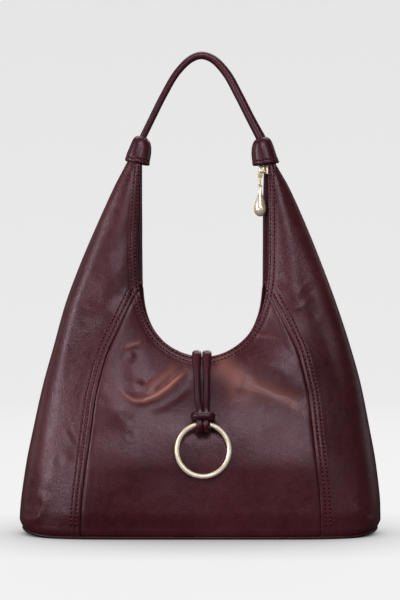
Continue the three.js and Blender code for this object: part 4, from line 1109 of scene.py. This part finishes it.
# Rise along the keeper, and how far it reaches outwards and towards the bag's middle, as shares.
KEEPER_SKEW = {LEFT: 0.02, RIGHT: -0.084}
KEEPER_SHAPE = {
    LEFT: [(0.0, 0.97, 0.98), (0.02, 1.01, 1.02), (0.13, 1.03, 1.02), (0.26, 1.02, 1.0), (0.48, 0.93, 0.96),
           (0.7, 0.85, 0.85), (0.84, 0.77, 0.7), (0.93, 0.66, 0.5), (0.98, 0.52, 0.38), (1.0, 0.38, 0.32),
           (0.985, 0.31, 0.3)],
    RIGHT: [(0.0, 1.04, 1.05), (0.02, 1.08, 1.09), (0.13, 1.07, 1.1), (0.27, 1.02, 1.08), (0.49, 0.96, 1.02),
            (0.71, 0.9, 0.88), (0.84, 0.82, 0.74), (0.93, 0.7, 0.58), (0.98, 0.56, 0.44), (1.0, 0.42, 0.36),
            (0.985, 0.33, 0.33)],
}


def keeper_frame(side):
    across, height, tilt = KEEPERS[side]
    foot = np.array([across * HALF_BAG, 0, height * ARM_HEIGHT])
    axis = np.array([math.sin(tilt), 0, math.cos(tilt)])
    return foot, axis, np.cross((0, 1, 0), axis)


def keeper_surface(side, rise, turn):
    """turn is 0 towards +X and a right angle towards the back."""
    foot, axis, way = keeper_frame(side)
    table = catmull(KEEPER_SHAPE[side], 200)
    length = np.concatenate([[0], np.cumsum(np.hypot(np.diff(table[:, 0]) * 30, np.diff(table[:, 1]) * 13))])
    at = lambda k: np.interp(rise, length / length[-1], table[:, k])
    height, outer, inner = at(0), at(1), at(2)
    deep = (outer + inner) / 2 * 0.97
    middle_side = np.cos(turn) * -side
    reach = np.where(middle_side > 0, inner, outer) * KEEPER_WIDTH / 2
    away = np.arccos(np.clip(middle_side, -1, 1))
    flange = bell(away / 0.16) * np.minimum(1, (1 - rise) * 5)
    groove = bell((away - 0.42) / 0.12)
    hem = height * KEEPER_HEIGHT - 4.6
    lift = 0.6 * flange - 0.35 * groove * (rise < 0.9)
    lift = lift - 0.45 * bell(hem / 0.8) + 0.35 * bell((hem + 2.2) / 1.8)
    x = np.cos(turn) * (reach + lift)
    y = np.sin(turn) * (deep * KEEPER_DEPTH / 2 + lift)
    up = height * KEEPER_HEIGHT + KEEPER_SKEW[side] * x * (1 - height)
    back = np.array([0, 1, 0])
    points = foot + axis * up[..., None] + way * x[..., None] + back * y[..., None]
    normals = way * (np.cos(turn) / KEEPER_WIDTH)[..., None] + back * (np.sin(turn) / KEEPER_DEPTH)[..., None]
    return points, unit(normals)


for name, side in (("left", LEFT), ("right", RIGHT)):
    sides, levels = 96, 70
    round_it = np.linspace(0, 2 * math.pi, sides, endpoint=False)
    rise, turn = np.meshgrid(np.linspace(0, 1, levels), round_it, indexing="ij")
    points, normals = keeper_surface(side, rise, turn)
    foot, axis, way = keeper_frame(side)
    inner = [points[0] - normals[0] * a + axis * b for a, b in ((7, 6), (2.2, 6), (2.2, 0.2), (1.1, -0.1))]
    points = np.concatenate([np.stack(inner), points])
    faces = grid_faces(len(points), sides, wrap=True)[:, ::-1]
    made = mesh_object(name + "_bell", points.reshape(-1, 3), faces, trim)
    settle(made, node=name + "_keeper")
    rows = Stitches()
    turn = np.linspace(0.0, 2 * math.pi, 200)
    points, normals = keeper_surface(side, np.full(200, 0.135), turn)
    rows.row(points, normals, pitch=3.8, radius=0.55, hole_shade=0.8)
    settle(rows.made(name + "_keeper_stitching", thread, hole_shade))

HANDLE_ARCH = [(-0.83, 0.255), (-0.66, 0.5), (-0.422, 0.79), (-0.185, 0.958), (-0.01, 1), (0.18, 0.958),
               (0.41, 0.79), (0.636, 0.5), (0.808, 0.255)]
tops = {side: keeper_frame(side)[0] + keeper_frame(side)[1] * KEEPER_HEIGHT for side in (LEFT, RIGHT)}
middle = (tops[LEFT] + tops[RIGHT]) / 2
half = np.linalg.norm(tops[LEFT] - tops[RIGHT]) / 2
rise = HANDLE_TOP - HANDLE_DIAMETER / 2 - middle[2]
arch = [middle + np.array([a * half, 0, b * rise]) for a, b in HANDLE_ARCH]
ends = [top + unit(top - near) * HANDLE_INSET
        for top, near in ((tops[LEFT], arch[0]), (tops[RIGHT], arch[-1]))]
handle_path = evenly(catmull([ends[0], tops[LEFT]] + arch + [tops[RIGHT], ends[1]], 900), 260)
# The handle grows thicker from its left end over its top, and once more near its right end.
along = np.linspace(0, 1, 260)
handle_radius = 3.8 + 1.15 * step((along - 0.32) / 0.38) + 0.45 * step((along - 0.84) / 0.14)
made = tube_object("rolled_handle", handle_path, handle_radius, 28, trim, first=(0, 1, 0))
settle(made, node="handle")

# The tab at the back
TAB_HALF, TAB_TOP, TAB_FOOT, TAB_THICKNESS, TAB_ROUNDING = 11, 174.3, 148.3, 7.2, 1.6
TAB_ROWS, TAB_COLUMNS = 40, 34
grid_x, grid_z = np.meshgrid(np.linspace(MOUTH_OFFSET + TAB_HALF, MOUTH_OFFSET - TAB_HALF, TAB_COLUMNS),
                             np.linspace(TAB_TOP, TAB_FOOT, TAB_ROWS), indexing="xy")
edge = np.minimum(TAB_HALF - np.abs(grid_x - MOUTH_OFFSET), np.minimum(TAB_TOP - grid_z, grid_z - TAB_FOOT))
base = np.stack([grid_x, depth_at(BACK, grid_x, grid_z), grid_z], -1)
out = face_normal(BACK, np.array([MOUTH_OFFSET]), np.array([TAB_TOP]))[0]
inwards = 1 - np.clip(edge / TAB_ROUNDING, 0, 1)
rounding = TAB_ROUNDING * (1 - np.sqrt(1 - inwards ** 2))
top = base + out * (TAB_THICKNESS - rounding - 0.2 * bell((edge - 2.6) / 0.7))[..., None]
low = base + out * 0.2
points = np.concatenate([top.reshape(-1, 3), low.reshape(-1, 3)])
count = TAB_ROWS * TAB_COLUMNS
index = np.arange(count).reshape(TAB_ROWS, TAB_COLUMNS)
upper = np.concatenate([index[0], index[1:, -1], index[-1, -2::-1], index[-2:0:-1, 0]])
lower = upper + count
walls = np.stack([upper, lower, np.roll(lower, -1), np.roll(upper, -1)], 1)
faces = np.concatenate([grid_faces(TAB_ROWS, TAB_COLUMNS),
                        grid_faces(TAB_ROWS, TAB_COLUMNS, count)[:, ::-1], walls[:, ::-1]])
made = mesh_object("back_tab", points, faces, trim)
settle(made, node="cord_tab")
rows = Stitches()
corner = [(MOUTH_OFFSET + a * 8.4, 161.3 + b * 10.4) for a, b in ((1, 1), (-1, 1), (-1, -1), (1, -1), (1, 1))]
line = evenly(np.array(corner, float), 160)
points = np.stack([line[:, 0], depth_at(BACK, line[:, 0], line[:, 1]), line[:, 1]], 1) + out * 7.05
rows.row(points, np.repeat(out[None], 160, 0), pitch=3.4, radius=0.45, hole_shade=0.7)
settle(rows.made("tab_stitching", thread, hole_shade))

# Floor, backdrop and light

stage_material, tree, shader = nodes_of("pale_paper")
shader.inputs["Base Color"].default_value = (0.02, 0.02, 0.02, 1)
shader.inputs["Roughness"].default_value = 0.9
shader.inputs["Emission Color"].default_value = (1, 1, 1, 1)
place = add(tree, "ShaderNodeNewGeometry").outputs["Position"]
parts = add(tree, "ShaderNodeSeparateXYZ")
tree.links.new(place, parts.inputs[0])
# The backdrop's glow, a little weaker higher up: a painted falloff of light.
glow = add(tree, "ShaderNodeMapRange", in_From_Min=0.0, in_From_Max=2.0, in_To_Min=0.82, in_To_Max=0.785)
tree.links.new(parts.outputs["Z"], glow.inputs["Value"])
# The glow is dimmed near the bag by ambient occlusion: a painted contact shadow on the floor.
contact_shadow = add(tree, "ShaderNodeAmbientOcclusion", samples=12, in_Distance=0.16)
shadowed_glow = add(tree, "ShaderNodeMath", operation="MULTIPLY")
tree.links.new(glow.outputs[0], shadowed_glow.inputs[0])
tree.links.new(contact_shadow.outputs["AO"], shadowed_glow.inputs[1])
tree.links.new(shadowed_glow.outputs[0], shader.inputs["Emission Strength"])
# A round floor that turns up into a wall far behind the camera and the bag.
FLOOR_REACH, WALL_BEND, WALL_TOP, FLOOR_SECTORS = 7000, 1500, 8000, 96
bowl = [(r, 0) for r in (1, 500, 1000, 3000, FLOOR_REACH)]
bowl += [(FLOOR_REACH + WALL_BEND * math.sin(t), WALL_BEND * (1 - math.cos(t)))
         for t in np.linspace(0.1, math.pi / 2, 14)]
bowl += [(FLOOR_REACH + WALL_BEND, WALL_TOP)]
points = np.array([[(r * math.cos(t), r * math.sin(t), z)
                    for t in np.linspace(0, 2 * math.pi, FLOOR_SECTORS, endpoint=False)] for r, z in bowl])
faces = grid_faces(len(bowl), FLOOR_SECTORS, wrap=True)
floor = mesh_object("pale_floor", points.reshape(-1, 3), faces, stage_material)
floor.visible_glossy = False
floor.visible_diffuse = False


def softbox(name, place, aim, size, power):
    light = bpy.data.lights.new(name, "AREA")
    light.shape = "RECTANGLE"
    light.size, light.size_y = size
    light.energy = power
    made = bpy.data.objects.new(name, light)
    made.location = place
    way = np.array(aim) - np.array(place)
    made.rotation_euler = Vector(way).to_track_quat("-Z", "Y").to_euler()
    scene.collection.objects.link(made)


softbox("left", (-1.8, -0.7, 0.7), (0, 0, 0.3), (0.32, 1.3), 19)
softbox("left_front_low", (-1.25, -1.6, 0.2), (0, 0, 0.1), (0.6, 0.5), 10)
softbox("front_low", (0, -2.6, 0.5), (0, 0, 0.25), (1.2, 0.9), 3)
softbox("front_high", (0.0, -1.8, 1.6), (0, 0, 0.25), (1.1, 0.6), 19)
softbox("right_front", (0.75, -1.9, 0.95), (0, 0, 0.25), (0.5, 0.6), 8)
softbox("right_front_low", (1.5, -1.5, 0.3), (0, 0, 0.25), (0.7, 0.7), 2)
softbox("right_behind", (1.6, 0.8, 0.7), (0, 0, 0.3), (0.6, 1.4), 2)
softbox("left_behind", (-1.6, 0.8, 0.7), (0, 0, 0.3), (0.6, 1.4), 2)
softbox("top", (0, 0.4, 1.5), (0, 0, 0.2), (1.5, 0.7), 14)
softbox("back", (0.3, 2.2, 1.1), (0, 0, 0.25), (1.6, 1.0), 12)
world = bpy.data.worlds.new("studio")
world.use_nodes = True
world.node_tree.nodes["Background"].inputs["Color"].default_value = (0.8, 0.8, 0.8, 1)
world.node_tree.nodes["Background"].inputs["Strength"].default_value = 0.05
scene.world = world
